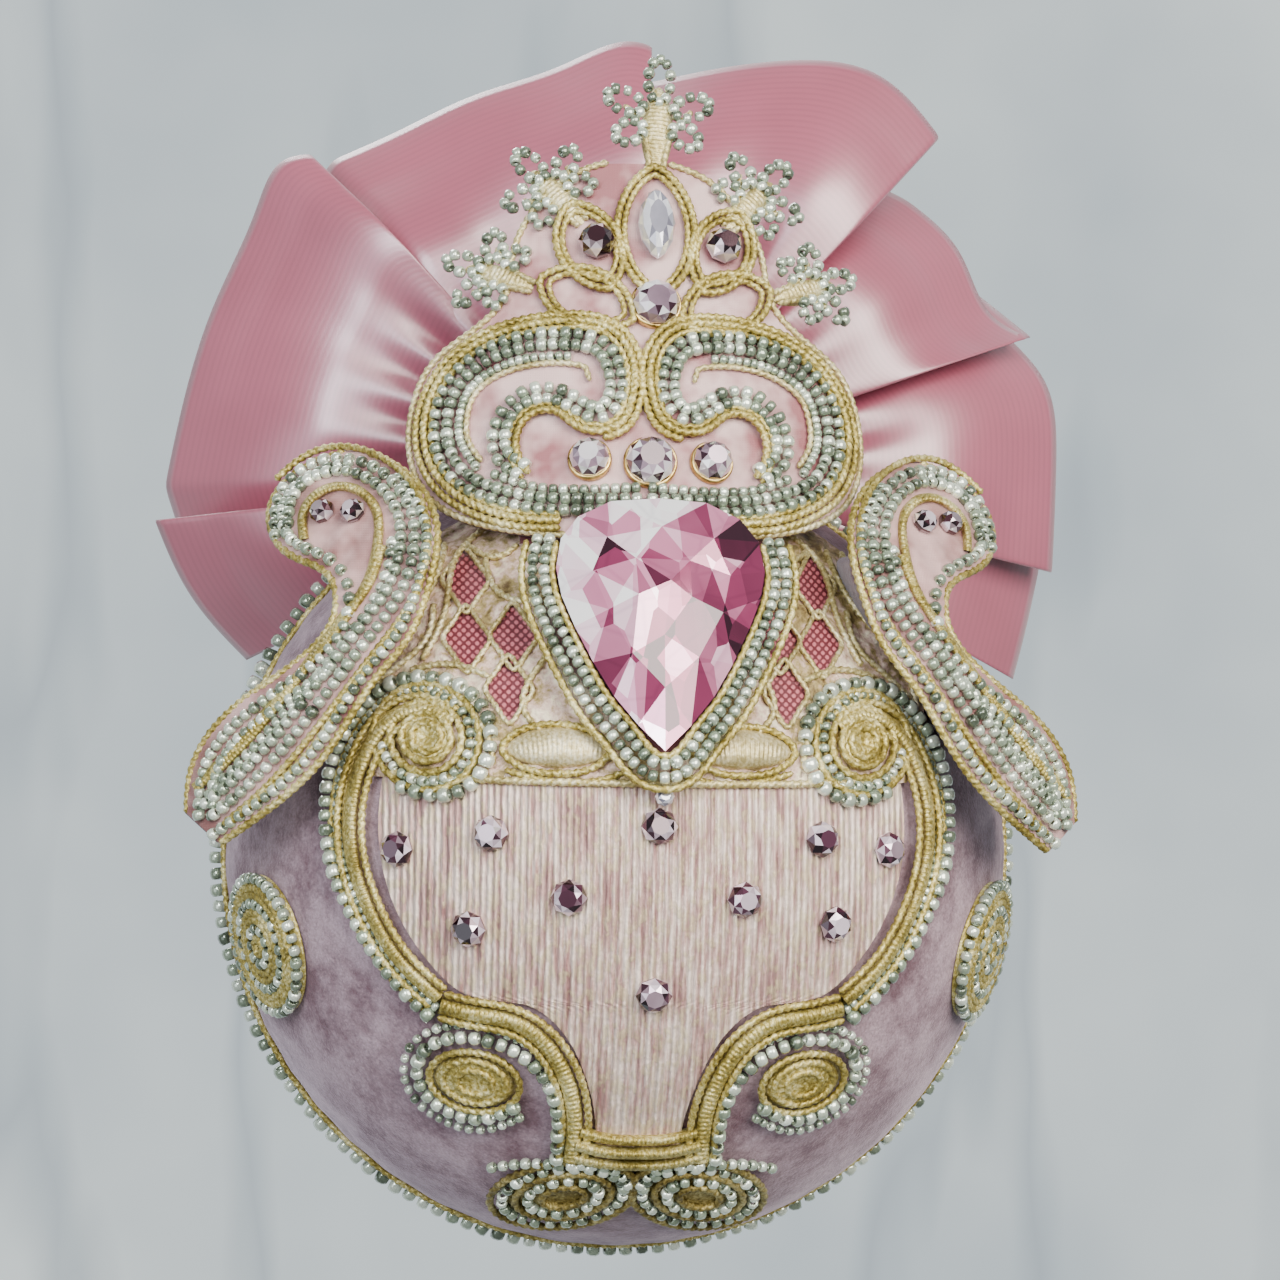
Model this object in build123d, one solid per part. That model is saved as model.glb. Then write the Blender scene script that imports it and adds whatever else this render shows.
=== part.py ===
"""Embroidered velvet Christmas ball with a beaded crown, a ribbon fan and a hanging ring.

The model is laid out about the centre of the ball: -Y is the decorated front, +Z is up and
+X is the viewer's right. It is exported about the centre of the hanging ring, in millimetres.
"""
from build123d import *
import math
import os

os.makedirs("parts", exist_ok=True)

# ---------------------------------------------------------------- driving dimensions
BALL_DIAMETER = 100.0       # covered ball, velvet surface
PATTERN_BALL = 100.0        # the embroidery pattern is drawn for a ball of this diameter
VELVET = 1.2                # velvet and its glue film
SEAM_SLOT_WIDTH = 0.9       # slot round the core that both velvet halves are tucked into
SEAM_SLOT_DEPTH = 3.0
FIT = 0.05                  # clearance between glued or sewn pieces
CAD_REACH = 90.0            # longer than any sketch has to be extruded

BROCADE = 0.8               # panel fabric
NET = 0.6                   # pink net under the yoke lace
LACE = 1.0                  # gold lace
STITCH_PAD = 2.8            # padded gold satin stitch
BEAD_ROW = 2.5              # rows of sewn seed beads
SEED_BEAD = 2.1             # diameter of a bead of the trim round the ball
PIPING_RADIUS = 0.8         # gold piping in front of the trim
PIPING_OFFSET = 2.0

SHIELD_BAND = 4.4           # width of the gold band round the panel
RAIL_BEADS = 3.0            # width of the bead row outside it
VOLUTE_RADIUS = 8.0
VOLUTE_BEAD_RADIUS = 5.9
VOLUTE_EYE_RADIUS = 4.0
PANEL_TOP = 11.5
LOWER_BAND = 3.6
LOWER_BEADS = 2.6
BASE_BAND_HEIGHT = 5.6

RHINESTONE_DIAMETER = 4.7   # standard SS20 stone
RHINESTONE_HEIGHT = 2.2

DROP_WIDTH = 24.4
DROP_LENGTH = 32.0
DROP_HEIGHT = 5.0
DROP_GIRDLE = 1.4
DROP_TABLE = 0.55           # share of the outline that the flat top keeps
DROP_LEAN = 24.0            # degrees back from upright
DROP_STANDOFF = 4.1         # point of the drop, in front of the velvet
DROP_FOOT = (1.2, 14.2)
DROP_MARGIN = 0.9           # the padded setting shows this much round the stone
DROP_BORDER = 3.0           # outer edge of the stitched border, from the stone
DROP_BEAD_RADIUS = 1.0

CROWN_RADIUS = 45.0         # bend of the crown plate from side to side
CROWN_LEAN = 20.0           # degrees back from upright
CROWN_FOOT = 38.0           # height of the crown's lower edge
CROWN_STANDOFF = 3.5        # crown fabric in front of the velvet, at that height
CROWN_FELT = 1.2
CROWN_FABRIC = 0.5
CROWN_CORD = 1.6
CROWN_PAD_WIDTH = 30.0
CROWN_PAD_HEIGHT = 11.0
CROWN_RELIEF = 2.0          # cords and beads stand this far off the crown's fabric
PALMETTE_SHIFT = 2.0        # the hand-sewn palmette sits a little to the right

WING_BOWL_RADIUS = 72.0     # flat bowl that the wings follow
WING_STANDOFF = 2.0         # its front, in front of the velvet
WING_FELT = 1.2
WING_RELIEF = 1.6

RIBBON_WIDTH = 50.0
RUFFLE_SINK = 1.5           # middle of the fan, below the top of the ball
RUFFLE_HUB_RADIUS = 11.0    # the ribbon's gathered edge
RUFFLE_DEPTH = 13.4         # depth of the folds
RUFFLE_LOW_ANGLE = -28.0    # the fan's lower ends, from level
RUFFLE_BACKING_RADIUS = 15.0
RUFFLE_BACKING = 1.6
RUFFLE_GAP = 0.4            # between the swinging ring and the folds

EYE_LIFT = 0.2              # between the cap and the eye
EYE_INNER_RADIUS = 1.9
EYE_WIRE_RADIUS = 0.7
SHANK_RADIUS = 1.0
SHANK_LENGTH = 22.0
CAP_RADIUS = 6.0
CAP_RISE = 2.2
RING_HOLE_RADIUS = 4.0      # for the hook or cord it hangs from
RING_WALL = 1.2
LINK_HOLE_RADIUS = 1.6      # lower hole of the ring, threaded on the eye
LINK_WEB = 1.2              # between the two holes
RING_THICKNESS = 1.4
RING_PLAY = 0.15            # gap between ring and eye

BALL = BALL_DIAMETER / 2
CORE = BALL - VELVET
LAYOUT = BALL_DIAMETER / PATTERN_BALL

# the eye stands on the cap, and the small hole of the ring hangs in its top
cap_crest = math.sqrt(BALL ** 2 - CAP_RADIUS ** 2) + CAP_RISE
eye_height = cap_crest + EYE_LIFT + EYE_INNER_RADIUS + 2 * EYE_WIRE_RADIUS
wire_corner = math.hypot(RING_WALL, RING_THICKNESS) / 2
ring_wire_z = eye_height + EYE_INNER_RADIUS - RING_PLAY - wire_corner
link_drop = RING_HOLE_RADIUS + LINK_WEB + LINK_HOLE_RADIUS
ring_centre_z = ring_wire_z + RING_WALL / 2 + LINK_HOLE_RADIUS + link_drop

# the fan stands just behind the ring
ruffle_front = RING_HOLE_RADIUS + RING_WALL + RUFFLE_GAP
ruffle_radius = RUFFLE_HUB_RADIUS + RIBBON_WIDTH
ruffle_centre = (0.0, BALL - RUFFLE_SINK)


def fitted(points):
    """Points of the pattern, drawn larger or smaller with the ball."""
    return [(x * LAYOUT, z * LAYOUT) for x, z in points]


def front_of_ball(x, z, standoff=0.0):
    """How far back the velvet's front lies at that place, less a stand-off."""
    return -math.sqrt(BALL ** 2 - x ** 2 - z ** 2) - standoff

# ---------------------------------------------------------------- paths and outlines
# All are seen from the front, as (x, z) on the right-hand side of a ball of the pattern's size,
# and mirrored for the left.
SHIELD_RAIL = fitted([
    (33.2, 12.5), (34.0, 8.0), (33.9, 1.5), (31.8, -5.0), (28.0, -10.5), (23.4, -14.3),
])
LOWER_SCROLL = fitted([
    (23.6, -15.4), (19.5, -16.2), (15.3, -16.9), (11.6, -19.3), (8.9, -23.5), (7.6, -28.6),
    (7.7, -34.4),
])
WING_OUTLINE = fitted([
    (24.4, 41.5), (28.0, 47.4), (34.5, 50.4), (41.2, 48.0), (45.0, 42.0), (42.6, 37.0), (37.4, 34.2),
    (36.6, 30.2), (39.4, 25.9), (44.6, 21.8), (49.8, 17.5), (53.6, 11.0), (54.0, 5.6), (49.6, 2.2),
    (44.0, 6.6), (38.0, 12.4), (34.7, 17.4), (31.6, 22.4), (28.0, 26.6), (25.3, 33.5),
])
WING_ROOT = fitted([
    (26.5, 38.0), (33.0, 33.5), (35.0, 27.5), (41.0, 20.0), (38.5, 15.0), (33.5, 21.5), (28.5, 28.0),
])
WING_EDGE_CORD = fitted([
    (25.9, 42.0), (25.7, 38.0), (26.6, 33.6), (28.8, 28.8), (32.2, 24.2), (35.8, 19.0), (39.2, 13.8),
    (44.2, 8.8), (48.8, 4.8),
])
WING_CURL_BEADS = fitted([
    (43.0, 39.4), (42.4, 44.6), (37.6, 48.0), (31.8, 46.6), (28.5, 42.2), (28.2, 37.4), (29.8, 32.4),
    (33.4, 27.2), (37.4, 21.8), (41.4, 16.4), (46.0, 11.0), (50.8, 6.6),
])
WING_INNER_CORD = fitted([
    (40.4, 38.8), (40.6, 42.2), (38.2, 45.0), (34.4, 45.2), (31.7, 42.6), (31.4, 38.6), (32.2, 34.6),
    (34.8, 29.8), (38.8, 24.6), (43.4, 19.0), (47.6, 14.2), (52.0, 9.4),
])
WING_STONES = fitted([
    (37.9, 41.9), (34.3, 41.9),
])
CROWN_PLATE = fitted([
    (8.0, 1.8), (19.5, 4.6), (25.4, 9.2), (27.6, 15.0), (27.4, 21.4), (25.0, 26.8), (20.0, 30.2),
    (16.4, 34.0), (15.4, 39.5), (12.6, 45.6), (8.6, 49.4), (3.6, 51.2),
])
CROWN_SCROLL = fitted([
    (13.6, 9.8), (15.0, 12.8), (14.9, 15.6), (13.2, 17.7), (10.6, 17.8), (8.2, 15.8), (5.2, 14.9),
    (2.6, 16.0), (1.3, 18.8), (1.3, 24.8), (3.6, 28.2), (8.5, 29.6), (14.0, 29.4), (19.3, 28.1),
    (23.6, 24.9), (25.7, 20.6), (25.8, 15.2), (23.8, 10.4), (19.2, 6.2), (14.5, 4.2), (9.8, 3.6),
])
CROWN_BEADS = fitted([
    (17.3, 13.0), (17.3, 16.2), (14.9, 19.6), (10.8, 20.3), (7.6, 18.4), (5.4, 17.5), (4.1, 19.0),
    (4.1, 22.0), (5.2, 24.8), (8.8, 26.4), (14.0, 26.3), (18.4, 25.1), (21.5, 22.6), (22.9, 19.4),
    (22.9, 15.6), (21.2, 11.8), (18.2, 9.2), (14.4, 7.5), (9.4, 6.5), (4.0, 6.2),
])
BASE_SCROLL = fitted([
    (0.8, -35.4), (7.0, -35.2), (13.6, -35.6), (16.6, -38.4), (13.6, -42.2), (7.4, -45.2),
    (0.8, -46.2),
])
LEAF_PAD = fitted([
    (4.8, 14.6), (7.0, 16.8), (11.0, 17.5), (15.0, 16.7), (17.0, 14.6), (14.4, 12.4), (10.8, 11.9),
    (7.2, 12.4),
])
YOKE_EDGE = fitted([
    (0.0, 45.0), (12.0, 44.2), (20.5, 41.0), (24.0, 36.0), (25.0, 31.0), (27.0, 26.4), (30.4, 21.8),
])
DROP_BEAD_AT = fitted([(1.4, 9.4)])[0]
VOLUTE_AT = fitted([(25.7, 15.7)])[0]
LOWER_ROSETTE_AT = fitted([(19.6, -25.8)])[0]
BASE_BAND_Z = -31.8 * LAYOUT
# half a pear, point down, as shares of half its width and of its length
DROP_OUTLINE = [(0.0, 0.0), (0.46, 0.19), (0.87, 0.42), (1.0, 0.64), (0.82, 0.85), (0.44, 0.97), (0.0, 1.0)]
RHINESTONES = fitted([
    (0.9, 6.0), (0.7, -13.3), (-9.2, -2.2), (10.9, -2.3), (-18.1, 4.8), (20.1, 4.5), (-28.6, 2.6),
    (28.6, 3.1), (-20.4, -6.2), (21.9, -5.3),
])
ROUND_STONES = list(zip(fitted([(-6.4, 11.4), (0.8, 11.0), (8.2, 11.4), (1.8, 31.8)]), (2.4, 3.0, 2.4, 2.9)))
PALMETTE_STONES = list(zip(fitted([(-5.2, 40.0), (10.2, 40.2)]), (2.0, 2.0)))
MARQUISE_AT = fitted([(2.0, 42.4)])[0]
MARQUISE_SIZE = (9.4, 4.4)
TALL_LOOP = (17.5 * LAYOUT, 9.6 * LAYOUT)
TALL_LOOP_HEIGHT = 41.6
SIDE_LOOP = (12.5 * LAYOUT, 7.6 * LAYOUT)
SIDE_LOOP_AT = fitted([(8.2, 39.6), (8.6, 32.6)])
SIDE_LOOP_TURN = (22, 62)


def finial_spot(x, height, turn, reach):
    """Centre, turn and size of a finial, either side of the palmette's middle."""
    return ((PALMETTE_SHIFT + x) * LAYOUT, height * LAYOUT), turn, reach * LAYOUT


FINIALS = {
    "top": finial_spot(0.5, 57.2, -3, 8.6),
    "upper_left": finial_spot(-12.6, 47.6, 38, 7.2),
    "upper_right": finial_spot(12.6, 47.6, -38, 7.2),
    "lower_left": finial_spot(-19.8, 37.2, 62, 6.6),
    "lower_right": finial_spot(19.8, 37.2, -62, 6.6),
}
FINIAL_LOBE_ANGLES = (90.0, 205.0, 335.0)

FRONT = Rot(90, 0, 0)       # stands a sketch up so that it is extruded towards the viewer
crown_radius = CROWN_RADIUS * LAYOUT
crown_foot_z = CROWN_FOOT * LAYOUT
crown_foot = (0, front_of_ball(0, crown_foot_z, CROWN_STANDOFF), crown_foot_z)
CROWN_AT = Pos(*crown_foot) * Rot(-CROWN_LEAN, 0, 0)
drop_x, drop_z = fitted([DROP_FOOT])[0]
DROP_AT = Pos(drop_x, front_of_ball(drop_x, drop_z, DROP_STANDOFF), drop_z) * Rot(-DROP_LEAN, 0, 0)
wing_bowl = WING_BOWL_RADIUS * LAYOUT
wing_setback = wing_bowl - BALL - WING_STANDOFF


# ---------------------------------------------------------------- shared shapes
def prism(face, depth):
    """The face pushed out along +Z, whichever way its outline runs."""
    return extrude(face, depth, dir=(0, 0, 1))


def closed_outline(points):
    """Smooth closed face through the points."""
    return Face(Wire([Spline(*points, periodic=True)]))


def mirrored_outline(points):
    """Face between a smooth edge and its mirror image, closed by straight ends."""
    other = [(-x, z) for x, z in reversed(points)]
    edges = [Spline(*points), Spline(*other)]
    if points[-1][0] != 0:
        edges.append(Line(points[-1], other[0]))
    if points[0][0] != 0:
        edges.append(Line(other[-1], points[0]))
    return Face(Wire(edges))


def half_outline(points):
    """Face between a smooth edge and the straight line that joins its ends."""
    return Face(Wire([Spline(*points), Line(points[-1], points[0])]))


def band(points, low, high):
    """Flat band that follows a smooth path, between two offsets to its right."""
    path = Spline(*points)
    stations = [i / (4 * len(points)) for i in range(4 * len(points) + 1)]

    def offset_edge(offset):
        edge = []
        for station in stations:
            place, run = path @ station, path % station
            edge.append((place.X + run.Y * offset, place.Y - run.X * offset))
        return edge

    right, left = offset_edge(high), offset_edge(low)
    sides = [Spline(*right), Line(right[-1], left[-1]), Spline(*reversed(left)), Line(left[0], right[0])]
    return Face(Wire(sides))


def disc(centre, radius):
    """Round face."""
    return Pos(*centre) * Circle(radius)


def ring_face(centre, outer, inner):
    """Flat ring."""
    return Pos(*centre) * (Circle(outer) - Circle(inner))


def shell(outer, inner):
    """Hollow ball."""
    return Sphere(outer) - Sphere(inner)


def on_ball(face, low, high):
    """Piece of a layer on the front of the ball, between two heights above the velvet."""
    return shell(BALL + high, BALL + low) & (FRONT * prism(face, CAD_REACH))


def on_wing(face, low, high):
    """Piece of a layer on the flatter bowl that the wings follow."""
    bowl = Pos(0, wing_setback, 0) * shell(wing_bowl + high, wing_bowl + low)
    return bowl & (FRONT * prism(face, CAD_REACH))


def on_crown(face, low, high):
    """Piece of a layer on the bent crown plate, standing on its fabric side."""
    tall = 2 * CAD_REACH
    plate = Cylinder(crown_radius + high, tall) - Cylinder(crown_radius + low, tall)
    through = Pos(0, crown_radius / 2, 0) * FRONT * prism(face, crown_radius)
    return CROWN_AT * ((Pos(0, crown_radius, 0) * plate) & through)


def outward(point_xz, radius):
    """Location on the front of a ball of the given radius, with local Z pointing outward."""
    x, z = point_xz
    y = -math.sqrt(radius ** 2 - x ** 2 - z ** 2)
    return Location(Plane(origin=(x, y, z), z_dir=(x, y, z)))


def flip(part):
    """Mirror image on the other side of the ornament."""
    return mirror(part, Plane.YZ)


def faceted(outline_face, girdle, height, taper):
    """Cut stone: a straight girdle under a tapered top, standing on the sketch plane."""
    top = extrude(Pos(0, 0, girdle) * outline_face, height - girdle, taper=taper)
    return prism(outline_face, girdle) + top


def table_cut(outline_face, middle, girdle, height, table):
    """Cut stone of any outline: a girdle, then a crown that shrinks to a flat table."""
    small = Pos(0, 0, height) * Pos(*middle) * scale(Pos(-middle[0], -middle[1]) * outline_face, table)
    top = loft([Pos(0, 0, girdle) * outline_face, small], ruled=True)
    return prism(outline_face, girdle) + top


# ---------------------------------------------------------------- ball
def foam_core():
    slot = Rot(90, 0, 0) * (Cylinder(CORE + 1, SEAM_SLOT_WIDTH) - Cylinder(CORE - SEAM_SLOT_DEPTH, SEAM_SLOT_WIDTH))
    shank_hole = Pos(0, 0, CORE) * Cylinder(SHANK_RADIUS + FIT, 2 * SHANK_LENGTH)
    return Sphere(CORE) - slot - shank_hole


def velvet_back():
    depth = SEAM_SLOT_DEPTH - FIT
    rim = Cylinder(CORE + VELVET / 2, SEAM_SLOT_WIDTH / 2 - FIT) - Cylinder(CORE - depth, SEAM_SLOT_WIDTH / 2 - FIT)
    flange = Pos(0, SEAM_SLOT_WIDTH / 4, 0) * Rot(90, 0, 0) * rim
    half = shell(BALL, CORE) & (Pos(0, BALL / 2 + FIT, 0) * Box(3 * BALL, BALL, 3 * BALL))
    hole = Pos(0, 0, BALL) * Cylinder(SHANK_RADIUS + FIT, 12)
    return half + flange - hole


def hoop(reach, offset, wire):
    """Wire lying round the ball, open at the top for the cap."""
    section = Pos(reach, -offset) * Circle(wire) - Circle(BALL)
    gap = math.degrees(math.asin((CAP_RADIUS + FIT) / BALL))
    turned = revolve(section, Axis.Y, 360 - 2 * gap)
    return Rot(0, gap - 90, 0) * turned


def seam_piping():
    return hoop(BALL + PIPING_RADIUS * 0.8, PIPING_OFFSET, PIPING_RADIUS)


def bead_trim():
    return hoop(BALL + SEED_BEAD * 0.4, 0, SEED_BEAD / 2)


# ---------------------------------------------------------------- panel
def volute_cut():
    return disc(VOLUTE_AT, VOLUTE_RADIUS + FIT)


def rail_face():
    band_face = band(SHIELD_RAIL, -SHIELD_BAND / 2, SHIELD_BAND / 2)
    return band_face + ring_face(VOLUTE_AT, VOLUTE_RADIUS, VOLUTE_BEAD_RADIUS + FIT)


def shield_rail():
    inside = disc(VOLUTE_AT, VOLUTE_BEAD_RADIUS + FIT)
    return on_ball(rail_face() - inside, 0, STITCH_PAD)


def rail_beads():
    edge = SHIELD_BAND / 2 + FIT
    return on_ball(band(SHIELD_RAIL, -edge - RAIL_BEADS, -edge) - volute_cut(), 0, BEAD_ROW)


def volute_beads():
    return on_ball(ring_face(VOLUTE_AT, VOLUTE_BEAD_RADIUS, VOLUTE_EYE_RADIUS + FIT), 0, BEAD_ROW)


def volute_eye():
    return on_ball(disc(VOLUTE_AT, VOLUTE_EYE_RADIUS), 0, STITCH_PAD)


def lower_scroll():
    return on_ball(band(LOWER_SCROLL, -LOWER_BAND / 2, LOWER_BAND / 2), 0, STITCH_PAD)


def lower_beads():
    edge = LOWER_BAND / 2 + FIT
    beads = band(LOWER_SCROLL, -edge - LOWER_BEADS, -edge)
    return on_ball(beads, 0, BEAD_ROW)


def lower_rosette():
    oval = Pos(*LOWER_ROSETTE_AT) * Rot(0, 0, 12) * Ellipse(6.0, 4.4)
    return on_ball(oval, 0, STITCH_PAD)


def brocade_face():
    top = (VOLUTE_AT[0], PANEL_TOP * LAYOUT)
    middle = mirrored_outline([top] + SHIELD_RAIL[1:] + LOWER_SCROLL[2:6])
    half = SHIELD_BAND / 2 + FIT
    rails = band(SHIELD_RAIL, -half, half) + volute_cut()
    scroll_half = LOWER_BAND / 2 + FIT
    scrolls = band(LOWER_SCROLL, -scroll_half, scroll_half)
    for piece in (rails, scrolls):
        middle = middle - piece - mirror(piece, Plane.YZ)
    return max(middle.faces(), key=lambda face: face.area)


def brocade_panel():
    return on_ball(brocade_face(), 0, BROCADE)


def base_band():
    half = LOWER_BAND / 2 + FIT
    scroll = band(LOWER_SCROLL, -half, half)
    face = Pos(0, BASE_BAND_Z) * Rectangle(2 * LOWER_SCROLL[-2][0], BASE_BAND_HEIGHT)
    return on_ball(face - scroll - mirror(scroll, Plane.YZ), 0, STITCH_PAD)


def base_scroll():
    return on_ball(half_outline(BASE_SCROLL), 0, BEAD_ROW)


def rhinestone(spot):
    height = BALL + BROCADE
    stone = faceted(Circle(RHINESTONE_DIAMETER / 2), 0.8, RHINESTONE_HEIGHT, 40)
    return outward(spot, height - 0.1) * stone - Sphere(height)


def side_rosette():
    reach = 9.0
    toward = Rot(0, 0, 64) * Rot(102, 0, 0)
    return (shell(BALL + BEAD_ROW, BALL) & (toward * prism(Circle(reach), CAD_REACH)))


# ---------------------------------------------------------------- yoke and drop
def yoke_face():
    outline = mirrored_outline(YOKE_EDGE + [(VOLUTE_AT[0] + VOLUTE_EYE_RADIUS, PANEL_TOP * LAYOUT + FIT)])
    face = outline - volute_cut() - mirror(volute_cut(), Plane.YZ)
    return max(face.faces(), key=lambda part: part.area)


def lace_windows():
    diamond = Polygon((0, -3.4), (2.3, 0), (0, 3.4), (-2.3, 0))
    spots = fitted([(15.6, 27.6), (16.2, 21.4), (21.0, 34.2), (21.0, 27.2)])
    return [Pos(side * x, z) * diamond for x, z in spots for side in (1, -1)]


def yoke_net():
    return on_ball(yoke_face(), 0, NET)


def yoke_lace():
    leaf = closed_outline(LEAF_PAD)
    face = yoke_face() - leaf - mirror(leaf, Plane.YZ)
    for window in lace_windows():
        face = face - window
    return on_ball(face, NET, NET + LACE)


def leaf_pad():
    return on_ball(closed_outline(LEAF_PAD), BROCADE, STITCH_PAD)


def drop_face(margin=0.0):
    """Pear outline in the stone's own plane, point down."""
    wide = DROP_WIDTH / 2 + margin
    tall = DROP_LENGTH + 2 * margin
    return mirrored_outline([(x * wide, z * tall - margin) for x, z in DROP_OUTLINE])


def drop_stone():
    middle = (0, DROP_LENGTH * 0.6)
    return DROP_AT * FRONT * table_cut(drop_face(), middle, DROP_GIRDLE, DROP_HEIGHT, DROP_TABLE)


def behind_crown():
    """Everything behind the crown's fabric, to keep other pieces out of it."""
    body = Cylinder(crown_radius + CROWN_FABRIC + FIT, CAD_REACH, align=(Align.CENTER, Align.CENTER, Align.MIN))
    return CROWN_AT * Pos(0, crown_radius, 0) * body


def drop_setting():
    block = DROP_AT * FRONT * Pos(0, 0, -12) * prism(drop_face(DROP_MARGIN), 12)
    return block - Sphere(BALL + NET + LACE) - behind_crown()


def drop_edging():
    border = drop_face(DROP_BORDER) - drop_face(DROP_MARGIN + FIT)
    ring = DROP_AT * FRONT * Pos(0, 0, -14) * prism(border, 24)
    layer = shell(BALL + BEAD_ROW + NET, BALL + NET + LACE)
    return (ring & layer) - behind_crown() - leaf_pad() - flip(leaf_pad())


def drop_bead():
    seat = BALL + BROCADE + DROP_BEAD_RADIUS
    return outward(DROP_BEAD_AT, seat) * Sphere(DROP_BEAD_RADIUS)


# ---------------------------------------------------------------- wings
def wing_backing():
    return on_wing(closed_outline(WING_OUTLINE), 0, WING_FELT) - Sphere(BALL)


def wing_pad():
    gap = Pos(0, wing_setback, 0) * Sphere(wing_bowl) - Sphere(BALL + FIT)
    return gap & (FRONT * prism(closed_outline(WING_ROOT), CAD_REACH))


def wing_strips(paths, half):
    top = WING_FELT + WING_RELIEF
    return [on_wing(band(path, -half, half), WING_FELT, top) for path in paths]


def wing_stone(spot):
    x, z = spot
    centre = wing_setback
    radius = wing_bowl + WING_FELT
    y = centre - math.sqrt(radius ** 2 - x ** 2 - z ** 2)
    seat = Location(Plane(origin=(x, y, z), z_dir=(x, y - centre, z)))
    return seat * faceted(Circle(1.6), 0.7, 1.8, 40)


# ---------------------------------------------------------------- crown
def crown_face():
    return mirrored_outline(CROWN_PLATE)


def crown_felt():
    return on_crown(crown_face(), -CROWN_FELT, 0) - Sphere(BALL + NET + LACE + FIT)


def crown_fabric():
    return on_crown(crown_face(), 0, CROWN_FABRIC)


def crown_pad():
    """Felt wedge that fills the space between the ball and the crown's foot."""
    wedge = Pos(0, -BALL / 2, crown_foot_z + CROWN_PAD_HEIGHT / 2) * Box(CROWN_PAD_WIDTH, BALL / 2, CROWN_PAD_HEIGHT)
    behind = CROWN_AT * Pos(0, crown_radius, 0) * Cylinder(crown_radius - CROWN_FELT - FIT, 4 * CAD_REACH)
    return (wedge & behind) - Sphere(BALL + NET + LACE + FIT)


def crown_strip(path, width):
    half = width / 2
    return on_crown(band(path, -half, half), CROWN_FABRIC, CROWN_FABRIC + CROWN_RELIEF)


def crown_stone(spot, face, height=3.0):
    x, up = spot
    turn = math.degrees(math.asin(x / crown_radius))
    seat = Pos(0, crown_radius, up) * Rot(0, 0, turn) * Pos(0, -crown_radius - CROWN_FABRIC - 0.15, 0)
    return CROWN_AT * seat * FRONT * faceted(face, 1.0, height, 32)


def marquise(length, width):
    """Pointed oval."""
    tip, side = length / 2, width / 2
    edges = [ThreePointArc((0, -tip), (side, 0), (0, tip)), ThreePointArc((0, tip), (-side, 0), (0, -tip))]
    return Face(Wire(edges))


def palmette_cords():
    """Gold cord loops of the palmette: a tall one and two at each side, cut where they cross."""
    tall = marquise(*TALL_LOOP) - marquise(*(size - 2 * CROWN_CORD for size in TALL_LOOP))
    side = marquise(*SIDE_LOOP) - marquise(*(size - 2 * CROWN_CORD for size in SIDE_LOOP))
    centre_x = PALMETTE_SHIFT * LAYOUT
    loops = [Pos(centre_x, TALL_LOOP_HEIGHT * LAYOUT) * tall]
    for hand in (1, -1):
        for (x, height), turn in zip(SIDE_LOOP_AT, SIDE_LOOP_TURN):
            loops.append(Pos(centre_x + hand * x, height) * Rot(0, 0, -hand * turn) * side)
    scroll = band(CROWN_SCROLL, -CROWN_CORD / 2, CROWN_CORD / 2)
    taken = scroll + mirror(scroll, Plane.YZ)
    for spot, face in ROUND_STONES + PALMETTE_STONES:
        taken = taken + Pos(*spot) * Circle(face + FIT)
    cords = []
    for loop in loops:
        free = (loop & crown_face()) - taken
        taken = taken + loop
        cords += [piece for piece in free.faces() if piece.area > 1.5]
    return [on_crown(cord, CROWN_FABRIC, CROWN_FABRIC + CROWN_RELIEF) for cord in cords]


def finial(centre, turn, reach):
    """Trefoil of three bead lobes round a stem, set on the crown's rim."""
    lobe = reach * 0.36
    face = Pos(0, -reach * 0.35) * Rectangle(reach * 0.34, reach * 1.1)
    for angle in FINIAL_LOBE_ANGLES:
        spread = math.radians(angle)
        face = face + Pos(reach * 0.56 * math.cos(spread), reach * 0.56 * math.sin(spread)) * Circle(lobe)
    face = face + Circle(reach * 0.3)
    placed = Pos(*centre) * Rot(0, 0, turn) * face
    trimmed = placed - crown_face()
    trimmed = max(trimmed.faces(), key=lambda part: part.area)
    return on_crown(trimmed, -CROWN_FELT, CROWN_RELIEF)


# ---------------------------------------------------------------- ribbon fan
def ruffle_slab(radius, hub, front, depth, low):
    """Fan standing behind the crown, open below, and clear of the ball."""
    sweep = 180 - 2 * low
    face = Pos(*ruffle_centre) * Circle(radius)
    missing = Pos(*ruffle_centre) * Polygon(
        (0, 0),
        (3 * radius * math.cos(math.radians(low)), 3 * radius * math.sin(math.radians(low))),
        (0, -6 * radius),
        (-3 * radius * math.cos(math.radians(low)), 3 * radius * math.sin(math.radians(low))),
        align=None,
    )
    face = face - missing if sweep < 360 else face
    if hub:
        face = face - Pos(*ruffle_centre) * Circle(hub)
    slab = Pos(0, front + depth, 0) * FRONT * prism(face, depth)
    return slab - Sphere(BALL + 0.3)


def ribbon_ruffle():
    return ruffle_slab(ruffle_radius, RUFFLE_HUB_RADIUS, ruffle_front, RUFFLE_DEPTH, RUFFLE_LOW_ANGLE)


def ruffle_backing():
    front = ruffle_front + RUFFLE_DEPTH + FIT
    face = Pos(*ruffle_centre) * Circle(RUFFLE_BACKING_RADIUS)
    slab = Pos(0, front + RUFFLE_BACKING, 0) * FRONT * prism(face, RUFFLE_BACKING)
    return slab - Sphere(BALL)


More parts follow.
